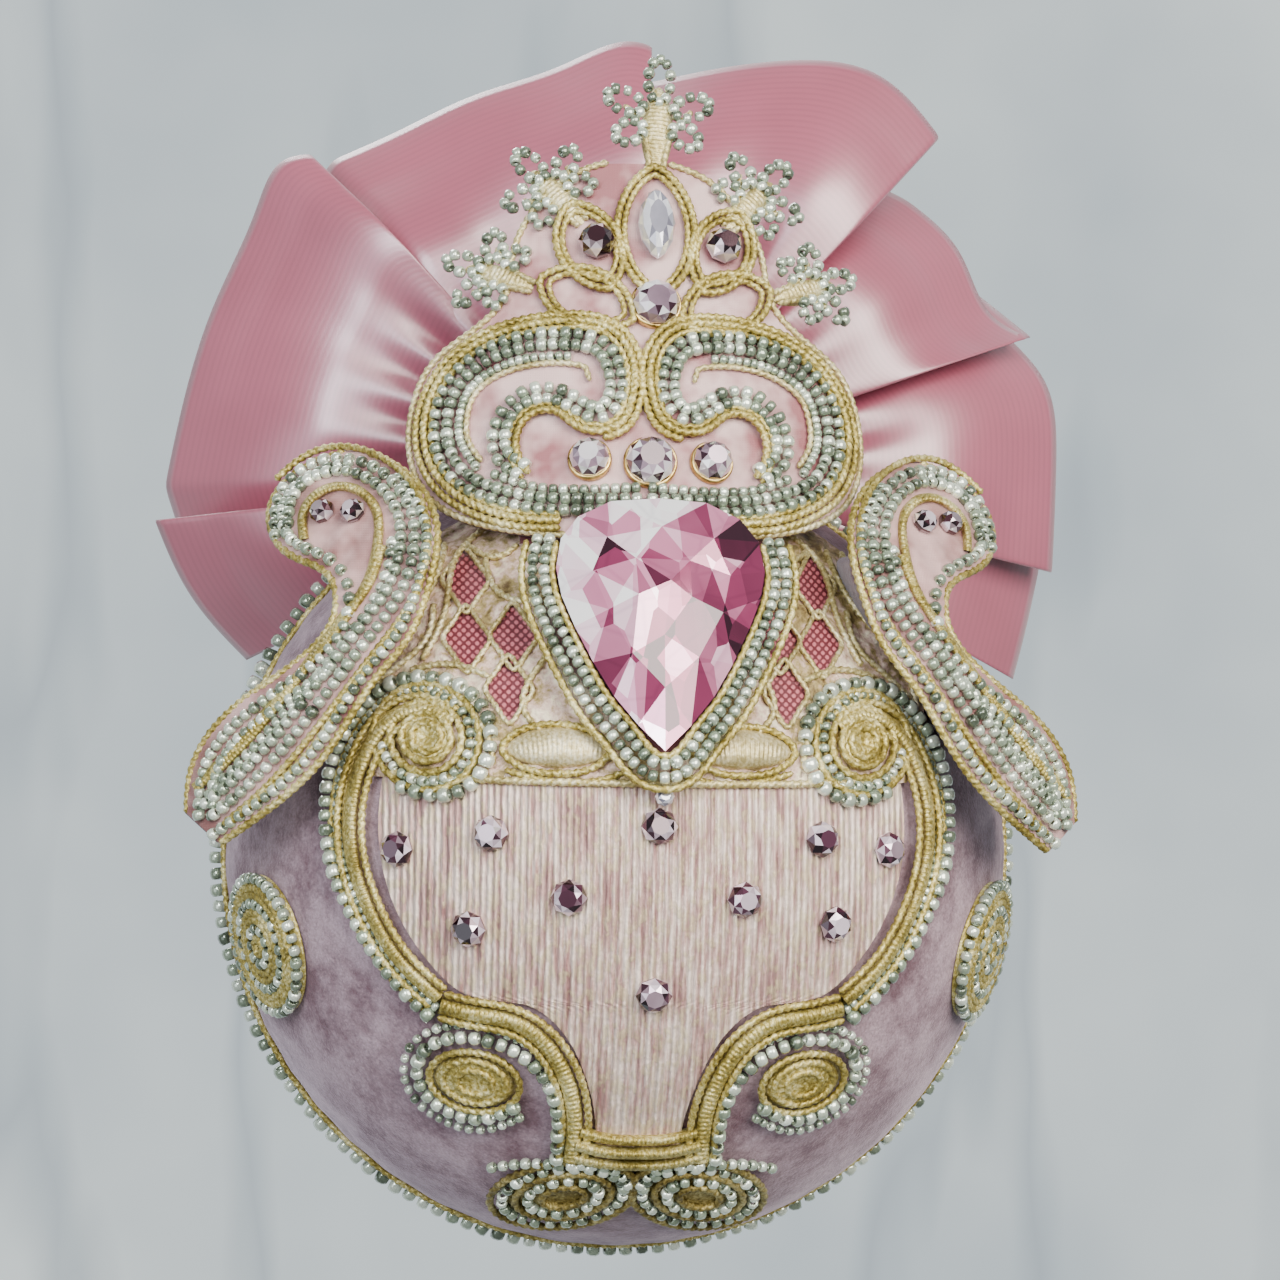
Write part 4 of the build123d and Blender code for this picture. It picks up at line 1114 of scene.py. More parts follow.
# ------------------------------------------------------------------ front panel
@dataclass
class Panel:
    """Brocade shield with its rails, volutes, lower scrolls, base and stones."""

    shop: Workshop
    volute: tuple[float, float] = (25.7, 15.7)

    @property
    def needle(self) -> Needle:
        """Needle on the velvet."""
        return Needle(RoundGround(self.shop.radius), seed=11)

    def build(self) -> None:
        """Builds every piece of the panel."""
        self.brocade()
        self.rails()
        self.volutes()
        self.lower()
        self.base()
        self.side_rosettes()
        self.stones()

    def brocade(self) -> None:
        """Ribbed cloth from the yoke down to the base band, ribs 1.3 mm apart and 0.18 mm high."""
        top, bottom = 12.4, -34.0
        right = np.array([(30.4, 12.4), (31.0, 7.0), (30.6, 1.0), (28.4, -5.4), (24.8, -10.6), (20.2, -14.2),
                          (13.6, -15.0), (9.4, -18.2), (6.6, -23.6), (5.2, -29.0), (5.0, -34.0)])
        fine = curve_through(right, 0.7)
        z = np.linspace(top, bottom, 110)
        half = np.interp(-z, -fine[:, 1], fine[:, 0])
        left, edge = np.stack([-half, z], 1), np.stack([half, z], 1)
        shape = self.needle.patch(left, edge, 150, lambda x, z: 0.66 + 0.18 * np.abs(np.sin(x * math.pi / 1.3)))
        cloth = self.shop.add("brocade_shield", shape, BROCADE, "brocade", "brocade_panel")

    def rails(self) -> None:
        """Padded gold rail down each side, and one strand of beads that runs up it and round the volute."""
        n = self.needle
        padded = Shape.joined([n.satin(RAIL_BAND, -0.95, 0.95, 0.6, 1.5, depth=0.16),
                               n.cord(shifted_pairs(RAIL_BAND, 1.45), 0.42, 1.5, pitch=1.0),
                               n.cord(shifted_pairs(RAIL_BAND, 2.15), 0.36, 1.2, pitch=1.0),
                               n.cord(shifted_pairs(RAIL_BAND, -1.4), 0.42, 1.6, pitch=1.0)])
        self.shop.pair("shield_rail_band", padded, GOLD, "gold_thread", "shield_rail")
        strand = Shape.joined([n.bead_rows(RAIL_STRAND, (0.0,), 1.9, 1.5),
                               n.bead_rows(RAIL_STRAND, (-1.35,), 1.2, 1.1)])
        self.shop.both("rail_bead_strand", strand, BEADS, "beads", "rail_beads")
        edging = n.cord(shifted_pairs(RAIL_STRAND, -2.3), 0.42, 0.9, pitch=1.0)
        self.shop.both("rail_outer_cord", edging, DEEP_GOLD, "gold_thread")

    def volutes(self) -> None:
        """Round bosses at the top of the rails: a padded eye inside cord and beads."""
        n, at = self.needle, self.volute
        arc = ring_points(at, (5.1, 5.1), 1.3)
        self.shop.both("volute_inner_beads", n.beads(arc[int(len(arc) * 0.3):], 1.3, 1.6), BEADS, "beads",
                       "volute_beads")
        eye = Shape.joined([n.dome(at, (3.5, 3.5), 0.5, 1.9, 0.5, 14, 0.9), hoop(n, at, 1.7, 2.0, 0.45),
                            hoop(n, at, 2.8, 1.9, 0.42),
                            hoop(n, at, 4.1, 1.6, 0.45), hoop(n, at, 6.1, 1.4, 0.42)])
        self.shop.both("volute_gold_eyes", eye, GOLD, "gold_thread", "volute_eyes")

    def lower(self) -> None:
        """Scrolls under the shield; a strand of beads follows each and curls round a gold leaf."""
        n = self.needle
        scroll = Shape.joined([n.satin(LOWER_SCROLL, -1.2, 1.0, 0.6, 1.4, depth=0.2),
                               n.cord(shifted_pairs(LOWER_SCROLL, 1.5), 0.42, 1.4, pitch=1.0),
                               n.cord(shifted_pairs(LOWER_SCROLL, -1.5), 0.42, 1.4, pitch=1.0)])
        self.shop.pair("lower_scroll_band", scroll, GOLD, "gold_thread", "lower_scroll")
        strand = Shape.joined([n.bead_rows(LOWER_STRAND, (0.0,), 1.8, 1.4),
                               n.bead_rows(LOWER_STRAND[4:], (-1.5,), 1.2, 1.0)])
        self.shop.both("lower_bead_strand", strand, BEADS, "beads", "lower_beads")
        at, turn = (19.4, -24.6), math.radians(10)
        boss = [n.dome(at, (4.9, 3.2), 0.4, 1.5, turn, 20, 0.5)]
        boss += [n.cord(ring_points(at, (5.0 * k, 3.5 * k), 1.2, turn), 0.42, 1.3 + 0.5 * (1 - k), True, 1.0)
                 for k in (1.05, 0.74, 0.42)]
        self.shop.both("lower_gold_leaves", Shape.joined(boss), GOLD, "gold_thread", "lower_rosettes")

    def base(self) -> None:
        """Folded gold band across the foot and the dense curls under it."""
        n = self.needle
        line = [(-7.4, -32.0), (-3.8, -32.9), (0.0, -33.1), (3.8, -32.9), (7.4, -32.0)]
        folds = Shape.joined([n.satin(line, -2.4, -0.9, 0.6, 1.5, depth=0.25),
                              n.satin(line, -0.8, 0.9, 0.6, 1.9, depth=0.25),
                              n.satin(line, 1.0, 2.5, 0.6, 1.4, depth=0.25)])
        self.shop.add("base_band_folds", folds, GOLD, "gold_thread", "base_band")
        at, turn = (8.2, -39.4), math.radians(-12)
        rows = [n.beads(ring_points(at, (7.2 * k, 4.0 * k), 1.45, turn), 1.6, 1.2 + 0.7 * (1 - k), True)
                for k in (1.0, 0.58)]
        rows.append(n.bead_rows([(16.8, -35.8), (12.6, -34.9), (7.6, -34.9), (2.2, -35.6), (0.8, -37.4)], (0.0,), 1.5,
                                1.2))
        self.shop.pair("base_curl_beads", Shape.joined(rows), BEADS, "beads", "base_scroll")
        cords = [n.cord(ring_points(at, (7.2 * k, 4.0 * k), 1.1, turn), 0.45, 1.2 + 0.6 * (1 - k), True, 1.0)
                 for k in (1.2, 0.79, 0.36)]
        cords.append(n.dome(at, (6.8, 3.7), 0.3, 1.0, turn, 26))
        self.shop.both("base_curl_cords", Shape.joined(cords), DEEP_GOLD, "gold_thread")

    def side_rosettes(self) -> None:
        """Rings of beads round a gold middle on each flank."""
        n = Needle(SpotGround(self.shop.radius, 64, -12), seed=23)
        rings = [n.beads(ring_points((0, 0), (r, r), 1.5), 1.6, 1.1, True) for r in (2.2, 5.2, 8.2)]
        self.shop.pair("side_rosette_beads", Shape.joined(rings), BEADS, "beads", "side_rosette")
        cords = [n.cord(ring_points((0, 0), (r, r), 1.2), 0.5, 1.2, True, 1.0) for r in (1.0, 3.3, 4.2, 6.2, 7.1)]
        self.shop.both("side_rosette_cords", Shape.joined(cords + [n.dome((0, 0), (8.6, 8.6), 0.2, 0.6, 0, 30)]), GOLD,
                       "gold_thread")

    def stones(self) -> None:
        """Round stones seated over the brocade."""
        ground = self.needle.ground
        stones = []
        for number, (x, z) in enumerate(RHINESTONES):
            spot, out = spot_of(ground, x, z, 0.75)
            stones.append(seated(cut_stone(oval(4.3, 4.3, 8), 0.6, 1.9, 0.5, 44 + number), spot, out))
        self.shop.add("panel_stones", Shape.joined(stones), PLUM_STONE, "clear_stone", "panel_rhinestones",
                      smooth=False)


def shifted_pairs(points: Pairs, offset: float) -> Array:
    """A path of few points moved sideways."""
    return shifted(curve_through(points, 1.6), offset)


def hoop(needle: Needle, at: tuple[float, float], reach: float, height: float, radius: float) -> Shape:
    """Ring of twisted cord."""
    return needle.cord(ring_points(at, (reach, reach), 0.9), radius, height, True)


def spot_of(ground: Ground, x: float, z: float, height: float) -> tuple[Array, Array]:
    """The place and outward direction of one layout point."""
    ax, az = np.array([x]), np.array([z])
    return ground.place(ax, az, height)[0], ground.normal(ax, az)[0]


def cup(ground: Ground, at: tuple[float, float], radius: float, height: float) -> Shape:
    """Metal rim round a stone: a low turned ring with a bevelled lip."""
    spot, out = spot_of(ground, at[0], at[1], height)
    profile = np.array([(radius + 0.12, -0.5), (radius + 0.12, 0.55), (radius - 0.06, 0.85), (radius - 0.3, 0.72),
                        (radius - 0.3, -0.5)])
    angle = np.linspace(0, TAU, 28, endpoint=False)
    ring = np.stack([profile[:, :1] * np.cos(angle), profile[:, :1] * np.sin(angle),
                     np.repeat(profile[:, 1:], 28, 1)], -1).reshape(-1, 3)
    return seated(Shape(ring, [grid_faces(5, 28, True, True)]), spot, out)


# ------------------------------------------------------------------ yoke and drop
@dataclass
class Yoke:
    """Lace over net on the upper front, with leaf pads and the large drop stone."""

    shop: Workshop
    foot: tuple[float, float] = (1.2, 14.2)
    lean: float = 24.0

    def build(self) -> None:
        """Builds the cloths and the drop."""
        self.lace()
        self.leaves()
        self.drop()

    def lace(self) -> None:
        """Net with the lace over it; the lace opens over the net in diamond windows."""
        n = Needle(RoundGround(self.shop.radius), seed=31)
        edge = curve_through(YOKE_SIDE, 0.6)
        z = np.linspace(10.9, 44.6, 100)
        half = np.interp(z, np.maximum.accumulate(edge[:, 1]), edge[:, 0])
        left, right = np.stack([-half, z], 1), np.stack([half, z], 1)
        net = self.shop.add("yoke_net_cloth", n.patch(left * 0.985, right * 0.985, 40, lambda x, z: 0.25 + 0 * x),
                            Cloth("dark_net", "8A4A50", "4E2026"), "pink_net", "yoke_net")

        def bare(x: Array, z: Array) -> Array:
            """One inside a diamond window, falling to nothing at its edge."""
            share = np.full(x.shape, 9.0)
            for wx, wz in LACE_WINDOWS:
                share = np.minimum(share, np.abs(np.abs(x) - wx) / 3.0 + np.abs(z - wz) / 4.2)
            return np.clip((1.1 - share) / 0.25, 0, 1)

        def relief(x: Array, z: Array) -> Array:
            """Raised thread with flowing ridges, sunk in the windows."""
            flow = np.sin(x * 2.1 + 1.5 * np.sin(z * 0.7)) * np.sin(z * 1.9 + 1.3 * np.sin(x * 0.5))
            return 0.95 + 0.28 * flow * (1 - bare(x, z)) - 0.35 * bare(x, z)

        cloth = self.shop.add("yoke_lace_cloth", n.patch(left, right, 170, relief, bare), LACE, "gold_lace",
                              "yoke_lace")
        cords = [n.cord(diamond(wx, wz), 0.30, 1.2, True, 0.9) for wx, wz in LACE_WINDOWS]
        sprays = [[(12.5, 16.6), (14.6, 19.4), (13.4, 23.2), (11.4, 26.6), (12.6, 31.4)],
                  [(18.0, 12.6), (18.6, 16.0), (20.6, 18.8), (23.8, 21.4)],
                  [(10.6, 33.6), (13.8, 31.8), (17.4, 33.0), (18.6, 37.0)],
                  [(26.2, 24.6), (23.4, 30.6), (22.2, 36.6), (18.0, 41.0)],
                  [(33.6, 17.0), (32.4, 23.6), (29.2, 29.4), (26.4, 35.0), (25.4, 38.6)],
                  [(32.6, 20.8), (28.6, 24.2), (25.4, 27.6), (24.8, 31.4)],
                  [(30.6, 27.0), (27.0, 30.4), (24.4, 34.6), (23.2, 38.8)],
                  [(18.4, 22.8), (22.8, 24.2), (27.6, 23.4)], [(14.6, 38.6), (17.6, 37.0), (21.0, 38.8)]]
        cords += [n.cord(path, 0.38, 1.3, False, 0.9) for path in sprays]
        self.shop.both("yoke_couched_cords", Shape.joined(cords), PALE_GOLD, "gold_thread")
        hem = n.cord([(-30.2, 11.4), (-20.0, 11.0), (-10.0, 10.9), (0.0, 10.9), (10.0, 10.9), (20.0, 11.0),
                      (30.2, 11.4)], 0.45, 1.2, pitch=1.0)
        self.shop.add("yoke_hem_cord", hem, PALE_GOLD, "gold_thread")

    def leaves(self) -> None:
        """Padded leaves beside the drop, in satin stitch with a cord round them."""
        n = Needle(RoundGround(self.shop.radius), seed=37)
        spine = [(5.0, 14.4), (8.2, 14.8), (12.0, 14.9), (16.6, 14.4)]
        leaf = Shape.joined([n.cord(LEAF_PAD, 0.42, 1.4, True, 1.0),
                             n.cord([(16.8, 12.2), (10.6, 10.9), (4.6, 11.6), (2.2, 12.6)], 0.38, 1.2, False, 1.0)])
        self.shop.both("leaf_pad_cords", leaf, GOLD, "gold_thread")
        stitch = n.satin(spine, -2.5, 2.5, 0.8, 2.0, depth=0.2, taper=True)
        self.shop.pair("leaf_pad_stitch", stitch, CREAM_GOLD, "gold_thread", "leaf_pad")

    def drop(self) -> None:
        """Pear stone leaning on the yoke, with the beads and lace sewn round it.

        The outline is a pear of half width w and length l; the stone's own axes are turned back
        by the lean about its foot.
        """
        width, length = 24.4, 32.0
        shares = np.array([(0.0, 0.0), (0.25, 0.10), (0.47, 0.21), (0.66, 0.34), (0.83, 0.48), (0.95, 0.60),
                           (1.0, 0.71),
                           (0.95, 0.83), (0.78, 0.92), (0.46, 0.985), (0.0, 1.0)])
        right = np.stack([shares[:, 0] * width / 2, shares[:, 1] * length], 1)
        outline = np.concatenate([right, (right * [-1, 1])[1:-1][::-1]])
        a = math.radians(self.lean)
        out, up = np.array([0.0, -math.cos(a), math.sin(a)]), np.array([0.0, math.sin(a), math.cos(a)])
        foot = np.array([self.foot[0], -52.3, self.foot[1]])
        stone = pear_cut(outline, 1.4, 5.0)
        placed = seated(stone, foot, out, up)
        self.shop.add("drop_stone_facets", placed, PINK_STONE, "pink_stone", "drop_stone", smooth=False)
        plane = TiltGround(foot, out, up)
        n = Needle(plane, seed=41)
        side = np.concatenate([(right * [-1, 1])[7:0:-1], right[:8]])
        line = curve_through(side, 1.3)
        rows = [n.beads(curve_through(shifted(line, reach), size * 0.9), size, height)
                for reach, size, height in ((1.3, 1.5, 0.5), (2.7, 1.5, -0.2))]
        self.shop.add("drop_edging_beads", Shape.joined(rows), BEADS, "beads", "drop_edging")
        cord = Shape.joined([n.cord(shifted(line, 0.4), 0.38, 0.8), n.cord(shifted(line, 3.9), 0.42, -0.8)])
        self.shop.add("drop_edging_cord", cord, GOLD, "gold_thread")
        spot, way = spot_of(RoundGround(self.shop.radius), 1.4, 9.4, 1.6)
        bead = cut_stone(oval(2.3, 2.3, 8), 0.7, 1.6, 0.5, 5)
        self.shop.add("drop_foot_bead", seated(bead, spot, way), WHITE_STONE, "beads", "drop_bead", smooth=False)


def diamond(x: float, z: float) -> Pairs:
    """Points round a lace window, rounded at its corners by the curve through them."""
    return [(x + 2.7, z), (x + 1.5, z + 2.0), (x, z + 3.9), (x - 1.5, z + 2.0), (x - 2.7, z), (x - 1.5, z - 2.0),
            (x, z - 3.9), (x + 1.5, z - 2.0)]


@dataclass(frozen=True)
class TiltGround(Ground):
    """Flat plane through a foot; the layout runs across it and up it."""

    foot: Array
    out: Array
    up: Array

    def place(self, x: Array, z: Array, height: Array | float = 0.0) -> Array:
        """Points over the plane."""
        side = np.cross(self.up, self.out)
        return (self.foot + x[..., None] * side + z[..., None] * self.up
                + np.asarray(height + 0 * x)[..., None] * self.out)


def pear_cut(outline: Array, girdle: float, height: float) -> Shape:
    """Pear stone whose few large facets meet in a small crooked table.

    Two inner rings stand over every second and every fourth point of the outline, drawn in
    towards a middle above the foot; triangles join the rings.
    """
    rng = np.random.default_rng(29)
    middle = np.array([0.0, outline[:, 1].max() * 0.60])
    count = len(outline)
    wide = middle + (outline[::2] - middle) * rng.uniform(0.62, 0.74, (count // 2, 1))
    inner = middle + (wide[::2] - middle) * rng.uniform(0.38, 0.52, (len(wide[::2]), 1))
    tiers = [np.c_[middle + (outline - middle) * 0.94, np.zeros(count)], np.c_[outline, np.full(count, girdle)],
             np.c_[wide, girdle + 2.0 + rng.uniform(-0.55, 0.55, len(wide))],
             np.c_[inner, height - rng.uniform(0.0, 0.9, len(inner))], np.array([[0.8, middle[1] + 0.6, height]])]
    start = np.cumsum([0] + [len(t) for t in tiers])
    i = np.arange(count)
    j = (i + 1) % count
    blocks = [np.stack([i, j, j + count, i + count], 1), i[None, ::-1]]
    for outer, near in ((1, 2), (2, 3)):
        k = np.arange(len(tiers[near]))
        many = len(tiers[outer])
        a, b, c = start[outer] + (2 * k) % many, start[outer] + (2 * k + 1) % many, start[outer] + (2 * k + 2) % many
        top, after = start[near] + k, start[near] + (k + 1) % len(k)
        blocks += [np.stack([a, b, top], 1), np.stack([b, after, top], 1), np.stack([b, c, after], 1)]
    k = start[3] + np.arange(len(inner))
    blocks.append(np.stack([k, np.roll(k, -1), np.full(len(k), start[4])], 1))
    points = np.concatenate(tiers)
    tall, wide_by = outline[:, 1].max(), outline[:, 0].max()
    # Facet tones are a painted reflection: lighter towards the top of the stone, darker towards its right, with random
    # scatter.
    tones = [np.clip(0.08 + 0.46 * points[b].mean(1)[:, 1] / tall - 0.30 * points[b].mean(1)[:, 0] / wide_by
                     + rng.normal(0, 0.22, len(b)), 0.0, 1.0) for b in blocks]
    return Shape(points, blocks, face_numbers={"tint": np.concatenate(tones)})


# ------------------------------------------------------------------ wings
@dataclass
class Wings:
    """Curled satin wings behind the yoke, edged with gold cord and rows of beads."""

    shop: Workshop
    felt: float = 1.2

    def build(self) -> None:
        """Builds the backing, cloth, cords, beads and stones."""
        n = Needle(RoundGround(72.0, 20.0), seed=53)
        inner, outer = curve_through(WING_INNER_EDGE, 0.5), curve_through(WING_OUTER_EDGE, 0.5)
        share = np.linspace(0, 1, 120)
        left, right = even(inner, share), even(outer, share)
        plate = n.patch(left, right, 30, lambda x, z: 0.15 + 0 * x)
        for side, half in (("right", plate), ("left", plate.mirrored())):
            felt = self.shop.add(f"wing_felt_{side}", half, SETTING_FELT, "felt", f"wing_backing_{side}")
            thicken(felt, 0.95)
        cloth = n.patch(left, right, 60, lambda x, z: self.felt + 0.1 + 0.22 * np.sin(x * 0.9 + z * 0.5) ** 2)
        for side, half in (("right", cloth), ("left", cloth.mirrored())):
            satin = self.shop.add(f"wing_satin_{side}", half, WING_CLOTH, "crown_cloth")
        top = self.felt + 0.6
        inner_line = shifted_pairs(WING_INNER_EDGE, 0.0)
        cords = [n.cord(WING_EDGE_CORD, 0.42, top, pitch=1.0),
                 n.cord(shifted_pairs(WING_CURL_BEADS[1:], 2.35), 0.42, top, pitch=1.0),
                 n.cord(WING_OUTER_EDGE, 0.45, self.felt, pitch=1.0), n.cord(inner_line, 0.45, self.felt, pitch=1.0),
                 n.satin(WING_INNER_CORD, -0.8, 0.5, self.felt, 1.0, depth=0.2),
                 n.satin(WING_CURL_BEADS[5:], -3.7, -2.3, self.felt, 0.9, depth=0.2)]
        self.shop.pair("wing_gold_cords", Shape.joined(cords), GOLD, "gold_thread", "wing_cords")
        rows = Shape.joined([n.bead_rows(WING_CURL_BEADS, (-0.8, 0.8), 1.6, top + 0.1),
                             n.bead_rows(WING_OUTER_EDGE, (-1.5,), 1.6, top),
                             n.bead_rows(WING_OUTER_EDGE[:5], (-3.1,), 1.6, top),
                             n.bead_rows(WING_INNER_EDGE[:9], (1.3,), 1.5, top),
                             n.bead_rows(WING_INNER_CORD[5:], (1.6,), 1.5, top)])
        self.shop.pair("wing_bead_rows", rows, BEADS, "beads", "wing_beads")
        stones = []
        for number, (x, z) in enumerate(WING_STONES):
            spot, out = spot_of(n.ground, x, z, self.felt + 0.3)
            stones.append(seated(cut_stone(oval(3.2, 3.2, 8), 0.7, 1.8, 0.5, 70 + number), spot, out))
        self.shop.both("wing_round_stones", Shape.joined(stones), DARK_STONE, "clear_stone", "wing_stones",
                       smooth=False)


def even(path: Array, share: Array) -> Array:
    """Points at shares of a path's length."""
    length = np.concatenate([[0], np.cumsum(np.linalg.norm(np.diff(path, axis=0), axis=1))])
    return np.stack([np.interp(share * length[-1], length, path[:, c]) for c in (0, 1)], 1)


def thicken(piece: bpy.types.Object, thickness: float) -> None:
    """Gives a cloth its thickness in millimetres, half to each side."""
    solid = piece.modifiers.new("thickness", "SOLIDIFY")
    solid.thickness = thickness * MM
    solid.offset = 0.0


# ------------------------------------------------------------------ crown
@dataclass(frozen=True)
class Finial:
    """Trefoil of bead clusters on the crown's rim: its centre, turn in degrees and reach."""

    name: str
    x: float
    height: float
    turn: float
    reach: float

    def shapes(self, needle: Needle) -> tuple[Shape, Shape]:
        """Its beads, and its gold stem with the leaves between the lobes."""
        turn = math.radians(self.turn)
        c, s = math.cos(turn), math.sin(turn)

        def at(x: float, z: float) -> tuple[float, float]:
            """A point of the finial in the crown's layout."""
            return self.x + c * x - s * z, self.height + s * x + c * z

        beads, cords = [], []
        for angle, share in ((90.0, 1.0), (154.0, 0.80), (26.0, 0.80), (212.0, 0.62), (328.0, 0.62)):
            a = math.radians(angle)
            half = 0.35 * self.reach * share
            heart = at((half + 0.26 * self.reach) * math.cos(a), (half + 0.26 * self.reach) * math.sin(a))
            arm = ring_points(heart, (half, 0.165 * self.reach), 1.35, a + turn)
            beads.append(needle.beads(arm, 1.5, 1.0, True))
        leaf = [at(0, -0.85 * self.reach), at(0, -0.2 * self.reach), at(0, 0.55 * self.reach)]
        cords.append(needle.satin(leaf, -0.23 * self.reach, 0.23 * self.reach, 0.1, 1.0, taper=True))
        for side in (-1, 1):
            curl = [at(side * 0.10 * self.reach, -0.85 * self.reach), at(side * 0.22 * self.reach, -0.2 * self.reach),
                    at(side * 0.5 * self.reach, 0.2 * self.reach)]
            cords.append(needle.cord(curl, 0.4, 0.7, pitch=1.0))
        return Shape.joined(beads), Shape.joined(cords)


FINIALS = [
    Finial("top", 2.5, 57.2, -3, 8.6), Finial("upper_left", -10.6, 47.6, 38, 7.2),
    Finial("upper_right", 14.6, 47.6, -38, 7.2),
    Finial("lower_left", -17.8, 37.2, 62, 6.6), Finial("lower_right", 21.8, 37.2, -62, 6.6),
]


@dataclass
class Crown:
    """Leaning satin crown: cords, bead bands, a palmette of loops, stones and five finials."""

    shop: Workshop
    shift: float = 2.0

    def build(self) -> None:
        """Builds the plate and everything sewn on it."""
        n = Needle(CrownGround(45.0, (0.0, -36.0, 38.0), 20.0), seed=61)
        self.plate(n)
        self.cords(n)
        self.palmette(n)
        self.stones(n)
        for finial in FINIALS:
            beads, stem = finial.shapes(n)
            self.shop.add(f"finial_beads_{finial.name}", beads, BEADS, "beads", f"finial_{finial.name}")
            self.shop.add(f"finial_stem_{finial.name}", stem, PALE_GOLD, "gold_thread")

    def plate(self, n: Needle) -> None:
        """Felt and the satin drawn over it."""
        edge = curve_through(CROWN_EDGE, 0.5)
        z = np.linspace(1.9, 51.1, 110)
        half = np.interp(z, np.maximum.accumulate(edge[:, 1]), edge[:, 0])
        left, right = np.stack([-half, z], 1), np.stack([half, z], 1)
        felt = self.shop.add("crown_felt_plate", n.patch(left, right, 70, lambda x, z: -0.6 + 0 * x), SETTING_FELT,
                             "felt", "crown_felt")
        thicken(felt, 1.1)
        satin = n.patch(left, right, 120, lambda x,
                        z: 0.36 + 0.12 * np.sin(x * 0.8 + np.sin(z * 0.4)) * np.sin(z * 0.5))
        cloth = self.shop.add("crown_satin", satin, CROWN_CLOTH, "crown_cloth", "crown_fabric")

    def cords(self, n: Needle) -> None:
        """Scroll of thin gold cords on each half, with the strand of beads that follows it inside."""
        lines = [n.cord(CROWN_SCROLL, 0.48, 1.3, pitch=1.0),
                 n.cord(shifted_pairs(CROWN_SCROLL[6:], -0.95), 0.45, 1.1, pitch=1.0),
                 n.cord(shifted_pairs(CROWN_SCROLL, 0.85), 0.36, 1.1, pitch=1.0)]
        self.shop.pair("crown_scroll_cord", Shape.joined(lines), GOLD, "gold_thread", "crown_scroll")
        foot = [(1.0, 7.6), (8.0, 7.5), (13.4, 8.4), (17.6, 10.4)]
        rows = Shape.joined([n.bead_rows(CROWN_BEADS, (-0.75, 0.75), 1.65, 1.2),
                             n.bead_rows(CROWN_BEADS[10:17], (2.2,), 1.2, 0.9),
                             n.bead_rows(foot, (0.0,), 1.4, 1.0)])
        self.shop.pair("crown_bead_band", rows, BEADS, "beads", "crown_beads")
        inner = Shape.joined([n.cord(shifted_pairs(CROWN_BEADS[8:17], 3.1), 0.34, 0.8, pitch=1.0),
                              n.cord(CROWN_EDGE, 0.4, 0.5, pitch=1.0)])
        self.shop.both("crown_inner_cord", inner, PALE_GOLD, "gold_thread")

    def palmette(self, n: Needle) -> None:
        """Tall loop in the middle with two loops at each side, each a pair of cords."""
        cords = [n.cord(pointed_ring((self.shift, 41.6), 17.5, 9.6, 0.0), 0.45, 1.1, True, 1.0),
                 n.cord(pointed_ring((self.shift, 41.6), 15.4, 7.8, 0.0), 0.36, 1.0, True, 1.0)]
        for hand in (1, -1):
            for x, height, turn in ((8.2, 39.6, 22), (8.6, 32.6, 62)):
                for size, wire in ((1.0, 0.45), (0.8, 0.36)):
                    at = (self.shift + hand * x, height)
                    cords.append(n.cord(pointed_ring(at, 12.5 * size, 7.6 * size, -hand * turn), wire, 1.1, True, 1.0))
        self.shop.add("palmette_loops", Shape.joined(cords), GOLD, "gold_thread", "palmette_cords")

    def stones(self, n: Needle) -> None:
        """Round stones and the pointed one; the four larger round stones sit in cups."""
        def set_in(at: tuple[float, float], outline: Array, seed: int) -> Shape:
            """One stone on the satin."""
            spot, out = spot_of(n.ground, at[0], at[1], 0.7)
            return seated(cut_stone(outline, 1.0, 2.9, 0.5, seed), spot, out)

        rounds = [((-6.4, 11.4), 2.4), ((0.8, 11.0), 3.0), ((8.2, 11.4), 2.4), ((1.8, 31.8), 2.9)]
        shapes = [set_in(at, oval(2 * r, 2 * r, 10), 80 + k) for k, (at, r) in enumerate(rounds)]
        self.shop.add("crown_stones", Shape.joined(shapes), CLEAR_STONE, "clear_stone", "crown_round_stones",
                      smooth=False)
        smalls = [((-5.2, 40.0), 2.0), ((10.2, 40.2), 2.0)]
        shapes = [set_in(at, oval(2.3 * r, 2.3 * r, 8), 90 + k) for k, (at, r) in enumerate(smalls)]
        self.shop.add("palmette_small_stones", Shape.joined(shapes), DARK_STONE, "clear_stone", "palmette_stones",
                      smooth=False)
        pointed = set_in((2.0, 42.4), pointed_oval(9.4, 4.6, 12), 97)
        self.shop.add("crown_pointed_stone", pointed, WHITE_STONE, "clear_stone", "crown_marquise", smooth=False)
        cups = [cup(n.ground, at, r + 0.15, 0.5) for at, r in rounds]
        self.shop.add("crown_stone_cups", Shape.joined(cups), GILT, "metal")


def pointed_ring(at: tuple[float, float], length: float, width: float, turn: float) -> Array:
    """Points round a pointed oval, turned by some degrees."""
    outline = pointed_oval(length, width, 16)
    a = math.radians(turn)
    return np.array(at) + outline @ np.array([[math.cos(a), math.sin(a)], [-math.sin(a), math.cos(a)]])


